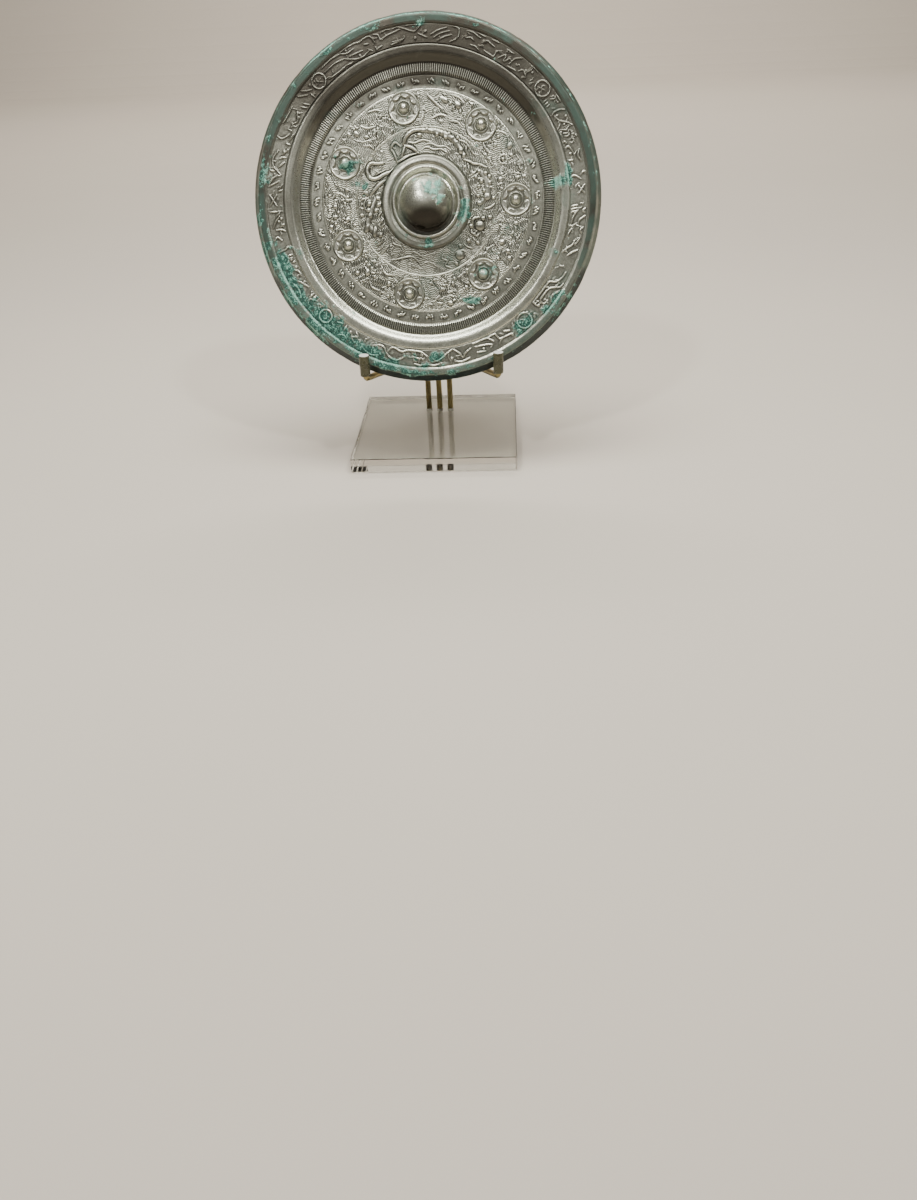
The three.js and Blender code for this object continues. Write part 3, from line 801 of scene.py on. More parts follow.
# each mound: radius, angle, length, width, height, and for some the turn from the radius
BEAST_MOUNDS = [
    (38.4, 95, 3.4, 2.6, 1.3, 90), (41.2, 88, 3, 2.4, 1.5), (40.4, 84, 2.6, 2.4, 1.4),
    (41.3, 81, 2.4, 2.2, 1.3), (39.2, 79, 3, 2.6, 1.5, 30), (40.6, 75, 3.2, 2.8, 1.6, 60),
    (38.9, 71, 3.4, 2.6, 1.5, 80), (41, 69, 2.6, 2.2, 1.4), (39.6, 65, 3.2, 2.8, 1.5, 90),
    (38.6, 60, 3, 2.4, 1.3, 100), (41.1, 61, 2.4, 2, 1.2), (36.1, 53, 4.4, 3.2, 1.6, 40),
    (35, 48, 3, 2.2, 1.2), (39.6, 23, 2.7, 2.7, 1.6), (41, 19.4, 2.4, 2.4, 1.5),
    (40.2, 14.6, 2.7, 2.7, 1.6), (36.5, 27, 2.4, 2.2, 1.4), (35.7, 18, 2.6, 2.6, 1.5),
    (36, 9, 2.4, 2.4, 1.4), (41.2, 2, 2.4, 2.2, 1.3), (32, 5, 2.4, 2.2, 1.2),
    (37.3, 3.4, 5.2, 4.4, 1.8, 20), (33.4, 14, 2.4, 2.2, 1.3), (38.4, 11.5, 2.2, 2.2, 1.3),
    (33.5, 24, 2.2, 2, 1.1), (29.4, 181, 4, 2.6, 1.3, 20), (29.9, 174, 3.4, 2.4, 1.2),
    (35.7, 191, 4.2, 3.2, 1.5, 60), (36, 185.6, 3, 2.6, 1.4), (35.3, 180, 3.4, 2.6, 1.4, 40),
    (31.5, 187, 3, 2.6, 1.2), (39.4, 200, 6.4, 3.4, 1.6, 50), (36.2, 206.5, 6.4, 3.6, 1.6, 55),
    (34.2, 212, 3.4, 2.8, 1.3, 40), (32.6, 357.5, 3.6, 3, 1.3), (36.1, 343.4, 2.8, 2.8, 1.5),
    (35.7, 336, 6.2, 6, 2.2), (35, 326.3, 2.6, 2.4, 1.3), (30.9, 332, 3, 2.4, 1.2),
    (37, 302.4, 5.8, 5.4, 1.9), (33, 308, 2.6, 2, 1), (40.3, 296, 2.8, 2, 1), (34.5, 318, 3, 2.4, 1.2),
    (39.5, 322, 2.6, 2, 1.1), (40, 346, 2.8, 2.2, 1.2), (37.6, 170, 3, 2.4, 1.3),
    (40.6, 189, 2.6, 2, 1.1),
]

beasts = Ring(28.0, 42.5, 60, 1120, GROUND)
beasts.combed(46, 1.1, 0.42, seed=5)
beasts.curls(60, seed=7, tall=0.5)
beasts.creatures(BEAST_STROKES, BEAST_MOUNDS)
for k in range(11):
    beasts.lump(37.4 + 0.3 * (k % 2), 82 - 2.3 * k, 0.9, 0.8, 0.75)
for k in range(5):
    beasts.lump(32.5 + 1.3 * k, 240 - 1.8 * k, 1.0, 0.9, 0.6)
beasts.worn(0.35, seed=31)
beasts.make("inner_ring_beasts", full=0.9)

# %% [markdown]
# ## The main ring
# Between the two thin lines the whole ground is covered with clouds and fur: fine wavy lines about a
# millimetre apart, turned another way in each patch, with small creatures among them. The combed patches
# cover it all, and the creatures are strokes and mounds on top. The seven bosses are a piece of their
# own, so a round place is cleared for each.

# %% Clouds and creatures of the main ring
BOSSES, BOSS_CIRCLE, BOSS_CLEARING = 7, 54.8, 9.2
CLOUD_STROKES = [
    (1.5, 1.1, [[(60.5, 88), (58, 85), (55, 81), (53.5, 78)]]),
    (1.2, 0.9, [[(47.5, 85), (50, 79), (50, 73.4)]]),
    (1.1, 0.8, [[(48, 72), (49, 66), (47.6, 61)], [(60, 66), (62, 70), (62.4, 75)]]),
    (0.9, 0.8, [[(56, 139), (52, 137), (49.5, 133), (47.5, 129)]]),
    (1.0, 0.8, [
        [(55.5, 277), (58.8, 273), (62.6, 271.5)], [(58, 116), (60.5, 119), (62.4, 124)],
        [(57, 43), (60, 40), (61.6, 36), (60, 32)], [(49, 45), (47, 38), (49, 32)],
        [(46.5, 20), (49, 16), (52, 17)], [(60, 14), (62, 19), (61, 24)],
        [(58, 346), (60.8, 342), (59.6, 337)], [(47, 343), (50, 340), (49, 334)],
        [(48, 178), (51.4, 174), (55, 173), (58, 176)], [(60, 170), (62, 175), (61.6, 182)],
        [(46, 190), (48.6, 194), (47.4, 199)], [(58, 230), (60.4, 234), (59.6, 240)],
        [(47, 232), (49, 237), (47.2, 243)], [(60, 291), (62, 295), (60.6, 300)],
        [(48, 318), (46.6, 323), (48.6, 328)],
    ]),
    (0.9, 0.7, [[(46, 93), (49, 96), (52, 93)]]),
    (1.2, 1.0, [[(53, 124), (55.4, 129), (59, 131)]]),
]
CLOUD_MOUNDS = [
    (59.7, 30.8, 4.4, 3.4, 1.3, 20), (52.5, 26, 2, 2, 1.1), (58.8, 78, 6, 3, 1.3, 70),
    (57.9, 69.3, 5, 3.8, 1.3, 60), (57.6, 136, 4.4, 3, 1.2), (55.2, 226.3, 4.4, 3.4, 1.4, 30),
    (57, 187, 3, 2.6, 1.1), (56.5, 181, 3, 2.6, 1.1), (61, 282.6, 4, 3, 1.3, 60),
    (53.4, 242, 3.4, 2.6, 1.2), (58, 329, 3.6, 3, 1.3), (52, 332, 4, 3, 1.3, 40), (60, 222, 3, 2.4, 1.2),
    (50.4, 287.5, 3, 2, 0.9), (56, 295, 3.4, 2.6, 1.0), (47.4, 301, 3, 2.4, 1.1),
    (50, 190, 3.6, 2.8, 1.2, 30), (60.8, 192, 3, 2.4, 1.0), (52.6, 36, 2.4, 2, 1), (47, 15, 3, 2.4, 1.1),
    (56.5, 346, 3.2, 2.6, 1.1), (61, 326, 3, 2.4, 1.1), (47.6, 225, 2.8, 2.4, 1.0),
    (61.4, 62, 3, 2.2, 1, 60), (46.6, 77.5, 3, 2, 0.9, 80), (52, 133, 3, 2.2, 1, 40),
    (61, 139, 2.8, 2, 1), (49.5, 170, 2.8, 2.2, 1),
]

clouds = Ring(43.5, 63.3, 64, 1420, GROUND)
clouds.combed(110, 1.15, 0.6, seed=12, wave=0.5)
clouds.curls(230, seed=19, tall=0.75)
clouds.creatures(CLOUD_STROKES, CLOUD_MOUNDS)
for k in range(4):
    clouds.lump(51.5, 229.5 - 2.8 * k, 1.5, 1.4, 1.0)
for degrees in range(0, 360, 30):
    c, s = math.cos(math.radians(degrees)), math.sin(math.radians(degrees))
    clouds.lump(52.5 + 2.5 * c, 26 + math.degrees(2.5 * s / 52.5), 1.5, 1.3, 0.8)
for x, y in polar([(BOSS_CIRCLE, k * 360 / BOSSES) for k in range(BOSSES)]):
    clouds.height *= ease(np.hypot(clouds.x - x, clouds.y - y) - BOSS_CLEARING)
clouds.worn(0.4, seed=51)
clouds.make("main_ring_clouds", full=0.7)

# %% [markdown]
# ## The band of small marks
# A narrow band carries a row of forty-seven worn marks. These are rows of short strokes that
# say nothing: each mark is a few slanting ticks side by side and a dot, laid by a seeded generator,
# because real characters have no place on this part.

# %% Rows of shallow strokes
MARK_CIRCLE, TICK_PLACES = 68.0, (-1.8, -0.95, 0, 0.95, 1.8)


def worn_marks(ring, count, seed):
    rng = np.random.default_rng(seed)
    for k in range(count):
        angle, r = 90 + 360 * (k + 0.5) / count, MARK_CIRCLE + rng.normal(0, 0.15)
        slant = rng.uniform(-0.6, 0.6)
        for along in TICK_PLACES:
            up, half = rng.uniform(-0.9, 0.9), rng.uniform(0.3, 1.1)
            sides = (-half, half)
            ends = [(r + up + side, angle + math.degrees((along + side * slant) / r)) for side in sides]
            ring.stroke(ends, 0.7, rng.uniform(0.65, 0.95), taper=0.4)
        ring.lump(r + rng.uniform(-1.6, 1.6), angle + rng.uniform(-1, 1), 0.9, 0.7, 0.6)


marks = Ring(64.3, 71.3, 24, 1500, GROUND)
worn_marks(marks, 47, seed=77)
marks.worn(0.35, seed=71)
marks.make("band_of_marks", full=0.45)

# %% [markdown]
# ## The rim band
# The raised rim carries a flowing line of beasts and clouds between two ridges, with four round
# medallions. All of it is line work, a little under a millimetre wide, like cord laid on the metal. So
# it is made of strokes, each with its few turning points, and small curls fill what is left.

# %% Line work of the rim
RIM_LINES = [
    # right of the top, going down to the right
    [(96.5, 58.5), (96.5, 55.7)], [(90, 60), (93.5, 58), (90, 57.5), (93, 56), (91, 54.8)],
    [(90.5, 55.4), (94.5, 54.5), (97.3, 52.6)], [(88.9, 55.4), (89.8, 52)],
    [(92.5, 48.5), (96, 47.6), (97.6, 48.3), (97.4, 45.5)],
    [(90.5, 51), (92.5, 50), (91.5, 48.6), (90.5, 47.7), (88.9, 48.6)],
    [(97.3, 35.7), (95.5, 35), (93.5, 35.7)], [(97.5, 35.7), (97.5, 33)], [(91, 36.5), (89, 36.4)],
    [(91, 35.5), (89, 35.4)], [(91, 34.5), (89, 34.4)],
    [(97.4, 30), (94.5, 31), (91.5, 31.3), (89, 30.7)],
    [(90.2, 29.6), (91.8, 27.6), (95, 26), (97.4, 24.3)], [(95, 24.5), (93, 23.8), (91, 24.4)],
    [(94.6, 23.4), (93, 22.6), (91, 23)], [(94, 22.4), (92.6, 21.6), (91, 22)], [(89.2, 24), (89.2, 22)],
    [(89, 20.2), (89.8, 20.2), (90.3, 19.3)], [(97, 21), (97.5, 20.3)], [(94.5, 20.4), (95.5, 19.3)],
    [(93, 14.4), (92, 16.9), (90.7, 18.2), (89.3, 17.8), (88.8, 17)], [(91.5, 13), (89, 13.3)],
    [(97.5, 8), (96.5, 8.5), (95, 7.6)], [(94.5, 6), (92, 7.3), (90, 7.6), (88.8, 7)],
    [(96.6, 16), (95, 14), (96.4, 12)], [(96.5, 4), (92.5, 1)], [(96.5, 1), (92.5, 4)],
    # left of the top
    [(97.3, 120), (97.6, 115.4), (96.8, 112.6), (97.4, 110.8), (97.3, 108.6), (95, 107.7), (93, 107.4)],
    [(96.2, 120), (94.8, 118), (95, 115.4)],
    [(93.3, 120), (90.5, 117.5), (89, 115), (88.8, 113), (90.3, 110)], [(92.5, 117), (91.8, 112.6)],
    [(89.3, 120), (88.8, 117.5)], [(94.5, 111.4), (93.8, 109.8)], [(88.8, 108), (89.5, 107), (90, 105.2)],
    [(97.3, 107), (96.3, 105.5), (93.5, 104.9), (94.5, 102.7), (95.8, 98.4), (96, 97.5)],
    [(96.8, 104.6), (97.6, 102.7), (97.3, 101.2)], [(97.3, 100), (97.6, 98.4), (96, 96), (94, 92.7),
    (95.5, 91.3), (97.3, 90.4), (97.6, 92.6), (97.5, 95.4)], [(89, 101.8), (89.4, 99.7), (89.8, 97.2)],
    [(90.3, 101), (90.5, 97.2), (92, 96.3)], [(92.8, 91.3), (90.5, 88)],
    [(90.5, 85.5), (93, 83), (94.8, 80)], [(92, 86.6), (94.6, 84), (96.4, 81)],
    [(89, 84), (91.4, 81.6), (93, 79)], [(97.5, 78.7), (97.3, 76.9), (94, 76.4), (91.5, 77), (89, 79.3)],
    [(97, 73.8), (97, 71.6), (95.8, 69.5), (95.5, 68.5)], [(97.5, 69.8), (97.1, 67.1)],
    [(93, 73.6), (94, 72), (93, 70.6)], [(90.3, 71.3), (90.3, 69.5), (89, 67.8)],
    [(93.5, 67.6), (95.5, 66), (95, 64.8), (94.3, 63)],
    [(90, 65.8), (89.5, 63.6), (89.5, 61.8), (92.5, 61.5), (94, 60)], [(97.4, 64.5), (97.4, 62)],
    # the left side
    [(96.5, 180), (92, 176)], [(96.5, 176), (92, 180)], [(97, 173.2), (94.5, 172.3), (91, 171)],
    [(96.8, 172.6), (95.5, 170.8), (92.5, 168.9)], [(97, 167.7), (94.5, 167.7)],
    [(91, 174.8), (89, 174.1)], [(90.5, 173.5), (88.8, 172.1)],
    [(90.5, 168.6), (92, 167.7), (95.5, 166.1), (96.5, 163.4), (95.5, 161.5), (94.3, 160.3)],
    [(92.5, 166.1), (89.3, 163.8)], [(93, 163.2), (91, 162.3), (88.8, 162.1)],
    [(92, 161.5), (90, 160), (89, 159)], [(91.2, 157.2), (88.8, 157)],
    [(97.5, 156), (94.5, 156.1), (91.3, 153.8)], [(90, 155.7), (88.8, 152.9)],
    [(97.5, 151.3), (96.8, 149.2), (96.8, 144.9)], [(97, 140.9), (93, 138.4)],
    [(97.4, 139), (95, 137.6), (93, 136)], [(92, 143), (89, 142)], [(92, 141.6), (89, 140.6)],
    [(92, 150), (90, 148), (92, 146), (90, 144.6)], [(92, 137.2), (88.9, 137.2)],
    [(97, 128.5), (97.4, 124), (96.6, 120)], [(94, 128.5), (94.3, 124), (93.2, 120)],
    [(89.7, 128.5), (89, 124), (89.4, 120)],
    # the lower left
    [(92, 234), (88.9, 234)], [(96, 217.6), (93, 216.4), (91, 217.8), (89, 217)],
    [(92.5, 215.8), (89, 215.8)], [(89, 212.6), (91.5, 209.5), (93.5, 208), (95, 206.4)],
    [(89.3, 207.3), (89.5, 205.5), (91.5, 204)], [(95, 201.2), (92.5, 200.3), (91.5, 198.7), (89, 198.6)],
    [(90.5, 203.6), (89, 203.6)], [(90.5, 201.4), (89, 201.4)],
    [(96.5, 196.3), (92, 196), (90, 195.3), (88.9, 196)], [(94.5, 188.5), (91, 188.7), (88.9, 189.5)],
    [(91.5, 187.6), (89.5, 186.9), (88.8, 187.2)], [(96, 187.6), (93.5, 185.2), (91, 183.8)],
    [(96.5, 182), (92, 182)], [(96.5, 208), (95, 211), (96.6, 214)],
    [(93, 222), (91, 220), (89.4, 221.4)], [(97, 192), (94.6, 191), (92.4, 192.6)],
    [(95.5, 240), (93, 238), (91, 240), (89, 238.6)], [(96.6, 233), (94.6, 235), (96.4, 237)],
    [(90.4, 230), (89.2, 232)],
    # interlaced waves at the bottom
    [(92, 268.9), (89.5, 266.7), (88.8, 264.6), (89, 260.5), (90.3, 258.4), (88.9, 254.7), (92, 252.9)],
    [(92.5, 260), (94.5, 258.7), (96, 256.9), (95.5, 254.7), (93.5, 252.9), (90.5, 251.3), (89.8, 249.5),
    (91, 247.6), (92, 246)], [(93.5, 266), (92.3, 262.7)],
    [(89, 279), (90.5, 276.9), (93, 274.7), (94.8, 272.3), (93, 270.7)],
    [(95, 282.4), (92, 281.5), (89, 279.4)], [(91, 286.4), (93, 283.7), (95, 282.7)],
    [(94, 294.5), (92.5, 292.6), (91.3, 288.3)],
    [(92.5, 295.7), (89.5, 294.1), (88.9, 292.9), (88.9, 287.7)], [(96, 291.4), (94.8, 288.3)],
    [(93.5, 300), (93, 298.2), (89.5, 297.5), (88.8, 296.9), (89, 293.8)],
    [(96.4, 274), (97.4, 271.4), (96.6, 269)], [(96.4, 268.4), (97.4, 266), (96.6, 264)],
    [(96, 250), (97.4, 247), (96, 244)], [(96.5, 285), (97.4, 282), (96.6, 279.6)],
    # the right side
    [(92, 357), (89, 356.6)], [(92, 356), (89, 355.4)], [(92, 355), (89, 354.4)],
    [(93, 355.4), (90.5, 353.2), (89.5, 350.1)], [(97.4, 353.4), (96, 352.9), (94, 351.7), (93.8, 350.4)],
    [(97, 356), (95.6, 355.2), (97, 354.6)], [(97, 349.4), (95.6, 348.5), (97, 347.6)],
    [(90.5, 348.4), (89.2, 346.7), (89, 345.2)], [(94.3, 344.9), (93, 342.7), (90.5, 340.9), (88.9, 339)],
    [(97, 341.5), (94.5, 340.3), (92.3, 338.7)], [(96.6, 345.6), (94.6, 343)],
    [(95.5, 332.9), (95, 330.7), (93, 328.3), (89.5, 327), (88.9, 324.6), (89, 316.8)], [(97.5, 329),
    (96.5, 327.3), (93, 325.8), (91.3, 324.3), (91, 320.2), (92, 319.2), (94.5, 319.3), (95, 321)],
    [(97, 325.5), (95.5, 323.3), (97, 321.5)], [(92, 317), (89, 317)], [(94.5, 303.6), (93.5, 300)],
    [(92, 303), (90.5, 301)],
]
# each medallion: radius and angle of its middle, and its own radius
MEDALLIONS = [(93.2, 40.4, 4.4), (93, 131.9, 4.2), (92.6, 225.2, 3.9), (92.9, 309.8, 4.6)]


def medallion(ring, r, angle, size):
    round_it = np.linspace(0, math.tau, 17)
    loop = [(r + size * math.cos(t), angle + math.degrees(size * math.sin(t) / r)) for t in round_it]
    ring.stroke(loop, 1.05, 0.7, taper=0)
    ring.stroke([(r - 2.2, angle - 1), (r + 0.6, angle + 0.6), (r + 2.2, angle + 0.2)], 0.9, 0.5)
    ring.stroke([(r - 1, angle + 1.4), (r + 0.4, angle - 1.2)], 0.8, 0.45)


rim = Ring(87.9, 98.0, 36, 2060, BAND)
rim.height += 0.07 * cloud(rim.x, rim.y, 3, 63)
for points in RIM_LINES:
    rim.stroke(points, 0.95, 0.62, taper=0.35)
for place in MEDALLIONS:
    medallion(rim, *place)
rim.lump(96, 28, 1.6, 1.4, 0.6)
rim.curls(150, seed=95, wide=0.7, tall=0.36)
rim.worn(0.35, seed=91)
rim.make("rim_band", full=0.6)

# %% [markdown]
# ## The comb ring
# A ring of several hundred short straight ticks runs along the foot of the slope, all alike. That is
# what Geometry Nodes are for: points on a circle, one small wedge with a narrower top on each, turned
# outwards. The wedge is a four-sided cone cut short, which costs twelve triangles. The bosses are set
# out in the same way, so one function builds the tree for both.

# %% Shapes set out on a circle
def ring_of(name, shape, sizes):
    """Sets shape(wire, size) out on a circle, turned outwards, and gives the points and faces."""
    tree = bpy.data.node_groups.new(name, "GeometryNodeTree")
    for label in sizes:
        tree.interface.new_socket(label, in_out="INPUT", socket_type="NodeSocketFloat")
    tree.interface.new_socket("Geometry", in_out="OUTPUT", socket_type="NodeSocketGeometry")
    start, wire = tree.nodes.new("NodeGroupInput"), Wire(tree)
    size = {label: Wire(tree, start.outputs[label]) for label in sizes}
    circle = wire.add("GeometryNodeMeshCircle", {}, {"Vertices": size["Count"], "Radius": size["Radius"]})
    place = wire.add("GeometryNodeInputPosition")
    outwards = wire.add("FunctionNodeAlignRotationToVector", {"axis": "X"}, {"Vector": place})
    sockets = {"Points": circle, "Instance": shape(wire, size), "Rotation": outwards}
    copies = wire.add("GeometryNodeInstanceOnPoints", {}, sockets)
    whole = wire.add("GeometryNodeRealizeInstances", {}, {"Geometry": copies})
    dressed = wire.add("GeometryNodeSetMaterial", {}, {"Geometry": whole, "Material": bronze})
    tree.links.new(dressed.socket, tree.nodes.new("NodeGroupOutput").inputs[0])
    holder = new_object(name, bpy.data.meshes.new(name))
    modifier = holder.modifiers.new("grow", "NODES")
    modifier.node_group = tree
    for item in tree.interface.items_tree:
        if item.in_out == "INPUT":
            modifier[item.identifier] = float(sizes[item.name])
    return settled(holder)


# %% The comb of ticks
COMB = {"Count": 370, "Radius": 75.3, "Length": 6.5, "Width": 0.64, "Height": 0.9}
WEDGE = {"Vertices": 4, "Radius Top": 0.45, "Radius Bottom": 0.707, "Depth": 1.0}


def tick(wire, size):
    """The wedge of one tick, a unit square at its foot, stretched to its sizes."""
    wedge = wire.add("GeometryNodeMeshCone", {}, WEDGE)
    square = wire.add("GeometryNodeTransform", {}, {"Geometry": wedge, "Rotation": (0, 0, math.pi / 4)})
    sides = {0: size["Length"], 1: size["Width"], 2: size["Height"]}
    stretch = wire.add("ShaderNodeCombineXYZ", {}, sides)
    return wire.add("GeometryNodeTransform", {}, {"Geometry": square, "Scale": stretch})


points, faces = ring_of("comb_of_ticks", tick, COMB)
raised = np.where(points[:, 2] > 0, 1.0, 0.4)
points[:, 2] += GROUND - 0.03
cast("comb_ring", points, faces, raised, smooth=False)

# %% [markdown]
# ## The seven bosses
# Seven bosses stand in the main ring. Each is a round platform with a star sunk into it, which leaves
# eight rounded lobes. A thin ring and a domed boss stand in the star. One is carved as a round height
# field, and Geometry Nodes set it out seven times, so a change to one changes all.

# %% One boss, set out seven times
BOSS_FADES, BOSS_EDGE, BOSS_SKIRT = 9.85, 9.9, 9.95  # radii where relief, top and side end
BOSS_PEAK, BOSS_DEPTH, BOSS_SPOKES = 3.12, 1.2, 72


def boss_height(r, a):
    lobe = (a % (math.pi / 4)) / (math.pi / 8) - 1
    star = 5.5 + 2.1 * np.abs(lobe) ** 2.4
    platform = 0.1 + 0.9 * ease((r - star) / 0.45)
    lip = 0.3 * np.exp(-(((r - star - 0.4) / 0.34) ** 2)) + 0.35 * np.exp(-(((r - 8.9) / 0.45) ** 2))
    thin_ring = 0.8 * np.sqrt(np.clip(1 - ((r - 4.1) / 0.5) ** 2, 0, 1))
    dome = 3.3 * np.clip(1 - (r / 3.1) ** 2, 0, 1) ** 0.6
    return np.maximum.reduce([platform + lip, thin_ring, dome]) * ease((BOSS_FADES - r) / 0.7)


def boss_mesh():
    top = [np.linspace(0.25, 3.6, 9), np.linspace(3.8, BOSS_EDGE, 28)]
    r = np.concatenate([*top, [BOSS_SKIRT, 3.0]])
    radius, angle = np.meshgrid(r, turns(BOSS_SPOKES), indexing="ij")
    z = boss_height(radius, angle)
    z[-2:] = -BOSS_DEPTH
    ends = [[0, 0, BOSS_PEAK], [0, 0, -BOSS_DEPTH]]
    points = np.concatenate([round_axis(radius, angle, z).reshape(-1, 3), ends])
    return loose("one_boss", points, spun_faces(len(r), BOSS_SPOKES))


one_boss = boss_mesh()


def one_boss_shape(wire, size):
    return wire.add("GeometryNodeObjectInfo", {}, {"Object": one_boss}, out=4)


points, faces = ring_of("bosses_in_a_ring", one_boss_shape, {"Count": BOSSES, "Radius": BOSS_CIRCLE})
bpy.data.objects.remove(one_boss)
raised = np.clip(0.38 + points[:, 2] * 0.18, 0, 1)
points[:, 2] += GROUND + 0.02
cast("seven_bosses", points, faces, raised)

# %% [markdown]
# ## Brass and plastic
# The rods are drawn brass, an olive gold with a fine scratchy grain and fingermarks. The sleeves are
# a clear plastic that has gone a little olive. Their upper ends are cut flat, and every face that points
# up is painted pale, partly as cut plastic and partly as a painted highlight from the lamp overhead.

# %% Brass and sleeve materials
BRASS, DULL_BRASS = (0.42, 0.34, 0.16, 1), (0.2, 0.165, 0.08, 1)
OLIVE, PALE_OLIVE, CUT_PLASTIC_AND_PAINTED_HIGHLIGHT = (0.055, 0.055, 0.025, 1), (0.12, 0.115, 0.055, 1), (0.93, 0.92, 0.85, 1)

brass, wire = new_material("drawn_brass")
smudge, scratch = grain(wire, 90, 4), grain(wire, 1800, 2)
surface(
    wire,
    Base_Color=mixed(rising(smudge + swing(scratch, 0.4), 0.3, 0.75), BRASS, DULL_BRASS),
    Metallic=1.0,
    Roughness=0.24 + smudge * 0.16,
    Normal=bumpy(scratch, 0.00004, 0.4),
)

sleeve_plastic, wire = new_material("olive_sleeve")
haze = grain(wire, 260, 4)
up = wire.add("ShaderNodeSeparateXYZ", {}, {0: wire.add("ShaderNodeTexCoord", out=1)}, out=2)
# Faces that point up are painted pale: partly cut plastic, partly a painted highlight from the lamp
# overhead.
cut_end_and_painted_highlight = rising(up, 0.7, 0.95)
surface(
    wire,
    Base_Color=mixed(cut_end_and_painted_highlight, mixed(haze, OLIVE, PALE_OLIVE), CUT_PLASTIC_AND_PAINTED_HIGHLIGHT),
    Roughness=0.2 + haze * 0.15 + cut_end_and_painted_highlight * 0.2,
    Transmission_Weight=0.3,
    IOR=1.45,
    Normal=bumpy(haze, 0.0001, 0.3),
)

# %% [markdown]
# ## The three rods
# Each rod is one length of round wire, bent cold. A bend isn't a corner: the wire turns through an arc.
# So each rod is a line of corners with a bend radius, the arcs are filled in, and a round section is
# carried along the line without twisting. A bevelled curve object would do too, but this
# keeps the bend radius exact.

# %% Bent wire
FOOT_X, FOOT_Y, SPREAD = -0.2, 31.0, 7.75  # the middle hole, and how far the others are to its sides
PRONG_X, PRONG_SPREAD, PRONG_Y, PRONG_Z = 1.5, 42.2, -46.8, 61.9
ROD_BOTTOM, PRONG_TOP, ROD_RADIUS, ROD_SIDES = 2.7, 75.8, 2.0, 28
ROUNDED_END = [(0.0, 0.82), (0.18, 0.95), (0.4, 1.0)]  # distance from the tip, and share of the radius


def bent(corners, bends):
    """Points along a line of corners, with an arc of the given radius at each inner corner."""
    c = np.asarray(corners, float)
    line = [c[0]]
    for before, corner, after, radius in zip(c, c[1:], c[2:], bends):
        a, b = before - corner, after - corner
        a, b = a / np.linalg.norm(a), b / np.linalg.norm(b)
        half = math.acos(np.clip(a @ b, -1, 1)) / 2
        start, end = corner + a * radius / math.tan(half), corner + b * radius / math.tan(half)
        middle = corner + (a + b) / np.linalg.norm(a + b) * radius / math.sin(half)
        p, q = start - middle, end - middle
        sweep = math.pi - 2 * half
        for t in np.linspace(0, 1, 13):
            arc = p * math.sin((1 - t) * sweep) + q * math.sin(t * sweep)
            line.append(middle + arc / math.sin(sweep))
    return np.array([*line, c[-1]])


def wire_mesh(line):
    """Closed round wire along a line that starts upright, with its ends slightly rounded."""
    tangents = np.gradient(line, axis=0)
    tangents /= np.linalg.norm(tangents, axis=1)[:, None]
    side = np.cross(tangents[0], [1.0, 0, 0])
    side /= np.linalg.norm(side)
    circles, around = [], turns(ROD_SIDES)
    for ahead in tangents:
        side = side - ahead * (side @ ahead)
        side /= np.linalg.norm(side)
        other = np.cross(ahead, side)
        circles.append(np.cos(around)[:, None] * side + np.sin(around)[:, None] * other)
    rings = [line[0] + tangents[0] * d + circles[0] * ROD_RADIUS * s for d, s in ROUNDED_END]
    rings += [place + circle * ROD_RADIUS for place, circle in zip(line[1:-1], circles[1:-1])]
    rings += [line[-1] - tangents[-1] * d + circles[-1] * ROD_RADIUS * s for d, s in ROUNDED_END[::-1]]
    return np.concatenate([*rings, [line[0], line[-1]]]), spun_faces(len(rings), ROD_SIDES)


def rod(name, corners, bends):
    points, faces = wire_mesh(bent(corners, bends))
    seat(loose("bent_" + name, points * MM, faces), name, brass)


def prong(sign):
    return PRONG_X + sign * PRONG_SPREAD, PRONG_Y


for name, sign in (("rod_left", -1), ("rod_right", 1)):
    foot = (FOOT_X + sign * SPREAD, FOOT_Y)
    corners = [(*foot, ROD_BOTTOM), (*foot, 49.0), (*prong(sign), PRONG_Z), (*prong(sign), PRONG_TOP)]
    rod(name, corners, [8.0, 3.2])

behind = [on_stand([(-1.0, v, -11.4)])[0] / MM for v in (-30, 26)]
rod("rod_back", [(FOOT_X, FOOT_Y, ROD_BOTTOM), (FOOT_X, FOOT_Y, 55.0), *behind], [8.0, 8.0])

# %% [markdown]
# ## The sleeves
# A plastic sleeve is pushed over each prong, so that brass never touches bronze. It is a tube with a
# closed top: one section spun about the prong, down the inside and up the outside.

# %% Two closed sleeves
SLEEVE_TOP, SLEEVE_LONG, SLEEVE_OUT, SLEEVE_BORE, SLEEVE_CAP = 77.2, 13.2, 3.2, 2.45, 1.1
SLEEVE_ROUND, SLEEVE_CHAMFER, SLEEVE_MIDDLE = 0.3, 0.15, 0.4


def sleeve_section():
    low, cap = SLEEVE_TOP - SLEEVE_LONG, SLEEVE_TOP - SLEEVE_CAP
    bore, out, soft = SLEEVE_BORE, SLEEVE_OUT, SLEEVE_ROUND
    inside = [(SLEEVE_MIDDLE, cap), (bore, cap), (bore, low), (bore + SLEEVE_CHAMFER, low)]
    outside = [(out - SLEEVE_CHAMFER, low), (out, low + SLEEVE_CHAMFER), (out, low + 5)]
    arc = np.linspace(0, math.pi / 2, 5)
    shoulder = [(out - soft + soft * math.cos(t), SLEEVE_TOP - soft + soft * math.sin(t)) for t in arc]
    return np.array(inside + outside + shoulder + [(1.6, SLEEVE_TOP), (SLEEVE_MIDDLE, SLEEVE_TOP)])


for name, sign in (("sleeve_left", -1), ("sleeve_right", 1)):
    points, faces = spin(sleeve_section(), 48)
    points += [*prong(sign), 0]
    sleeve = seat(loose("plastic_" + name, points * MM, faces), name, sleeve_plastic)
    sleeve.data.set_sharp_from_angle(angle=math.radians(40))

# %% [markdown]
# ## The acrylic foot
# The foot is a thick plate of clear acrylic with polished edges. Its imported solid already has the
# right shape, so it stays and only gets its finish: full transmission, acrylic's refraction, and a
# trace of dust in the colour and the roughness.

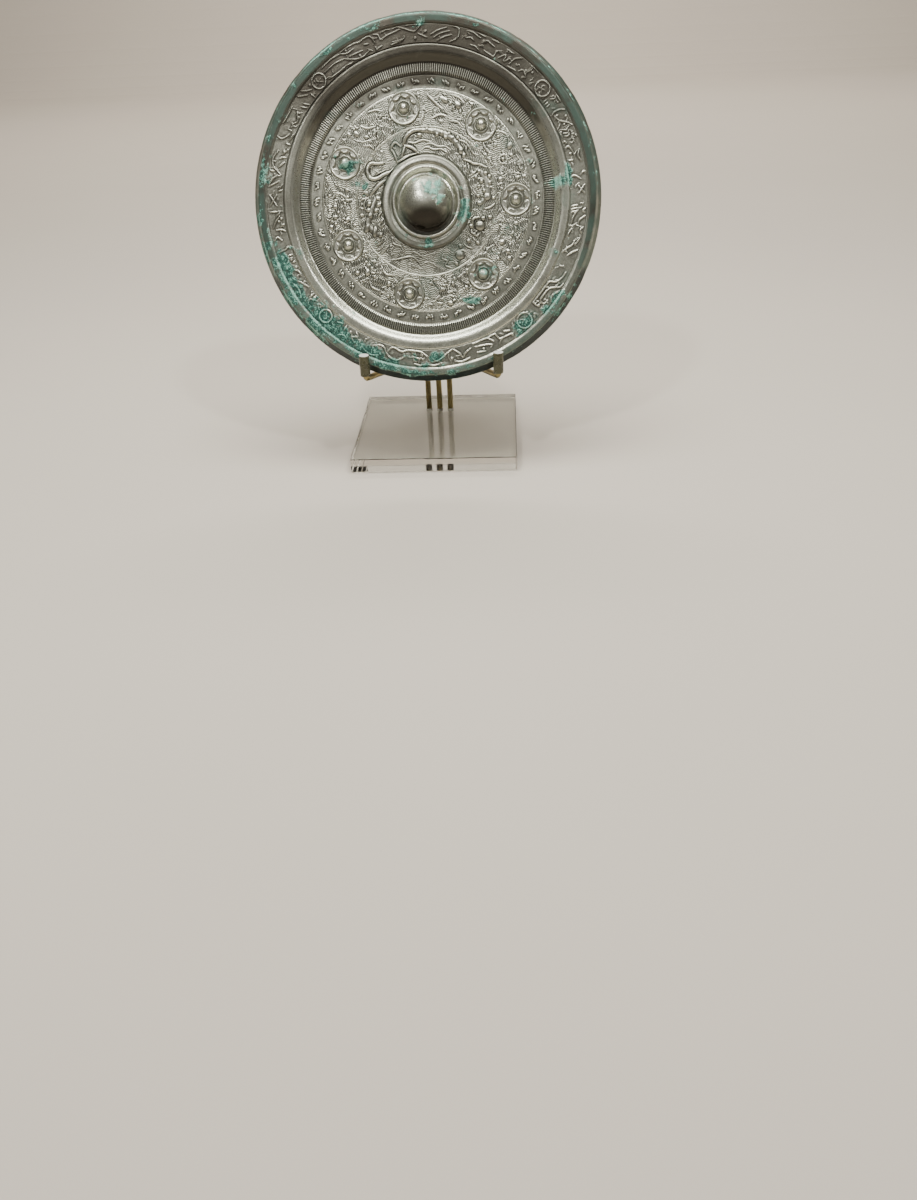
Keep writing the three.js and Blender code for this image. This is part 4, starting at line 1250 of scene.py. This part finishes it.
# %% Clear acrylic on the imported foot
acrylic, wire = new_material("clear_acrylic_plate")
dust = grain(wire, 60, 5)
surface(
    wire,
    Base_Color=mixed(dust, (0.97, 0.975, 0.955, 1), (0.93, 0.945, 0.915, 1)),
    Roughness=0.02 + rising(dust, 0.5, 0.8) * 0.05,
    Transmission_Weight=1.0,
    IOR=1.49,
)
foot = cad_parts["foot_plate"]
for slot_of_foot in foot.material_slots:
    slot_of_foot.material = acrylic
print("foot:", foot.name, [s.material.name for s in foot.material_slots])

# %% [markdown]
# ## Floor, light and camera
# A pale sweep of paper stands in for the room. One broad soft light hangs overhead, so that every slope
# that faces up shines, and a weaker one fills from the front. A third lights the paper behind, and two
# small lamps put the highlights on the knob. The camera looks down from a little right of the middle,
# turned by a few degrees.

# %% Paper sweep
UNDER = -0.0004  # light must leave the acrylic before it meets the paper
BEND = 0.8

paper, wire = new_material("pale_paper")
tone = mixed(grain(wire, 3), (0.51, 0.46, 0.395, 1), (0.55, 0.5, 0.43, 1))
surface(wire, Base_Color=tone, Roughness=0.85)
arc = np.linspace(0, math.pi / 2, 17)
curve = [(2.2 + BEND * math.sin(t), BEND - BEND * math.cos(t)) for t in arc]
profile = [(y, z + UNDER) for y, z in [(-3.0, 0), (1.0, 0), *curve]] + [(3.0, 3.2)]
points = [(x, y, z) for x in (-4.0, 4.0) for y, z in profile]
n = len(profile)
faces = [(k, n + k, n + k + 1, k + 1) for k in range(n - 1)]
sweep = new_object("paper_sweep", new_mesh("paper_sweep", points, faces))
sweep.data.materials.append(paper)
sweep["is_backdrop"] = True


# %% Lamps
def lamp(name, place, target, size, watts, colour):
    light = bpy.data.lights.new(name, "AREA")
    light.shape, light.size, light.size_y = "RECTANGLE", size[0], size[1]
    light.energy, light.color = watts, colour
    holder = new_object(name, light)
    holder.location = place
    holder.rotation_euler = (Vector(target) - Vector(place)).to_track_quat("-Z", "Y").to_euler()


lamp("overhead", (0.0, -0.02, 1.1), (0, 0, 0.15), (0.9, 0.4), 17, (1, 1, 0.95))
lamp("back_wash", (0, 1.5, 1.7), (0, 2.1, 0), (2.2, 0.6), 58, (1, 0.94, 0.86))
lamp("front_fill", (-0.3, -1.7, 1.5), (0, 0, 0.12), (1.2, 0.8), 3, (1, 0.97, 0.93))
lamp("knob_left", (-0.33, -0.62, 0.95), (0, 0, 0.16), (0.07, 0.07), 4.5, (1, 0.98, 0.95))
lamp("knob_right", (0.42, -0.52, 0.98), (0, 0, 0.16), (0.07, 0.07), 4.5, (1, 0.98, 0.95))
world = bpy.data.worlds.new("soft_room")
world.use_nodes = True
background = world.node_tree.nodes["Background"]
background.inputs["Color"].default_value = (0.9, 0.86, 0.8, 1)
background.inputs["Strength"].default_value = 0.14
bpy.context.scene.world = world

# %% Camera
EYE = Vector((0.0499, -0.6390, 0.2842))
YAW, PITCH, ROLL = (math.radians(a) for a in (-3.675, 33.453, -2.62))
ahead = Vector((math.sin(YAW) * math.cos(PITCH), math.cos(YAW) * math.cos(PITCH), -math.sin(PITCH)))
right = Vector((math.cos(YAW), -math.sin(YAW), 0))
above = right.cross(ahead)
rolled_right = right * math.cos(ROLL) + above * math.sin(ROLL)
rolled_above = above * math.cos(ROLL) - right * math.sin(ROLL)
lens = bpy.data.cameras.new("camera")
lens.lens, lens.sensor_width, lens.clip_start = 29.24, 36.0, 0.01
camera = new_object("camera", lens)
turned = Matrix((rolled_right, rolled_above, -ahead)).transposed().to_4x4()
camera.matrix_world = Matrix.Translation(EYE) @ turned
bpy.context.scene.camera = camera

# %% [markdown]
# ## Size, and the end
# The dressed mirror must not outgrow its solids, so both boxes are written down for comparison.

# %% Write the sizes and finish
dressed = [list(corner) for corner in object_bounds()]
for label, (lo, hi) in (("solids", cad_box), ("dressed", dressed)):
    print(label, "mm:", [round((b - a) / MM, 2) for a, b in zip(lo, hi)])
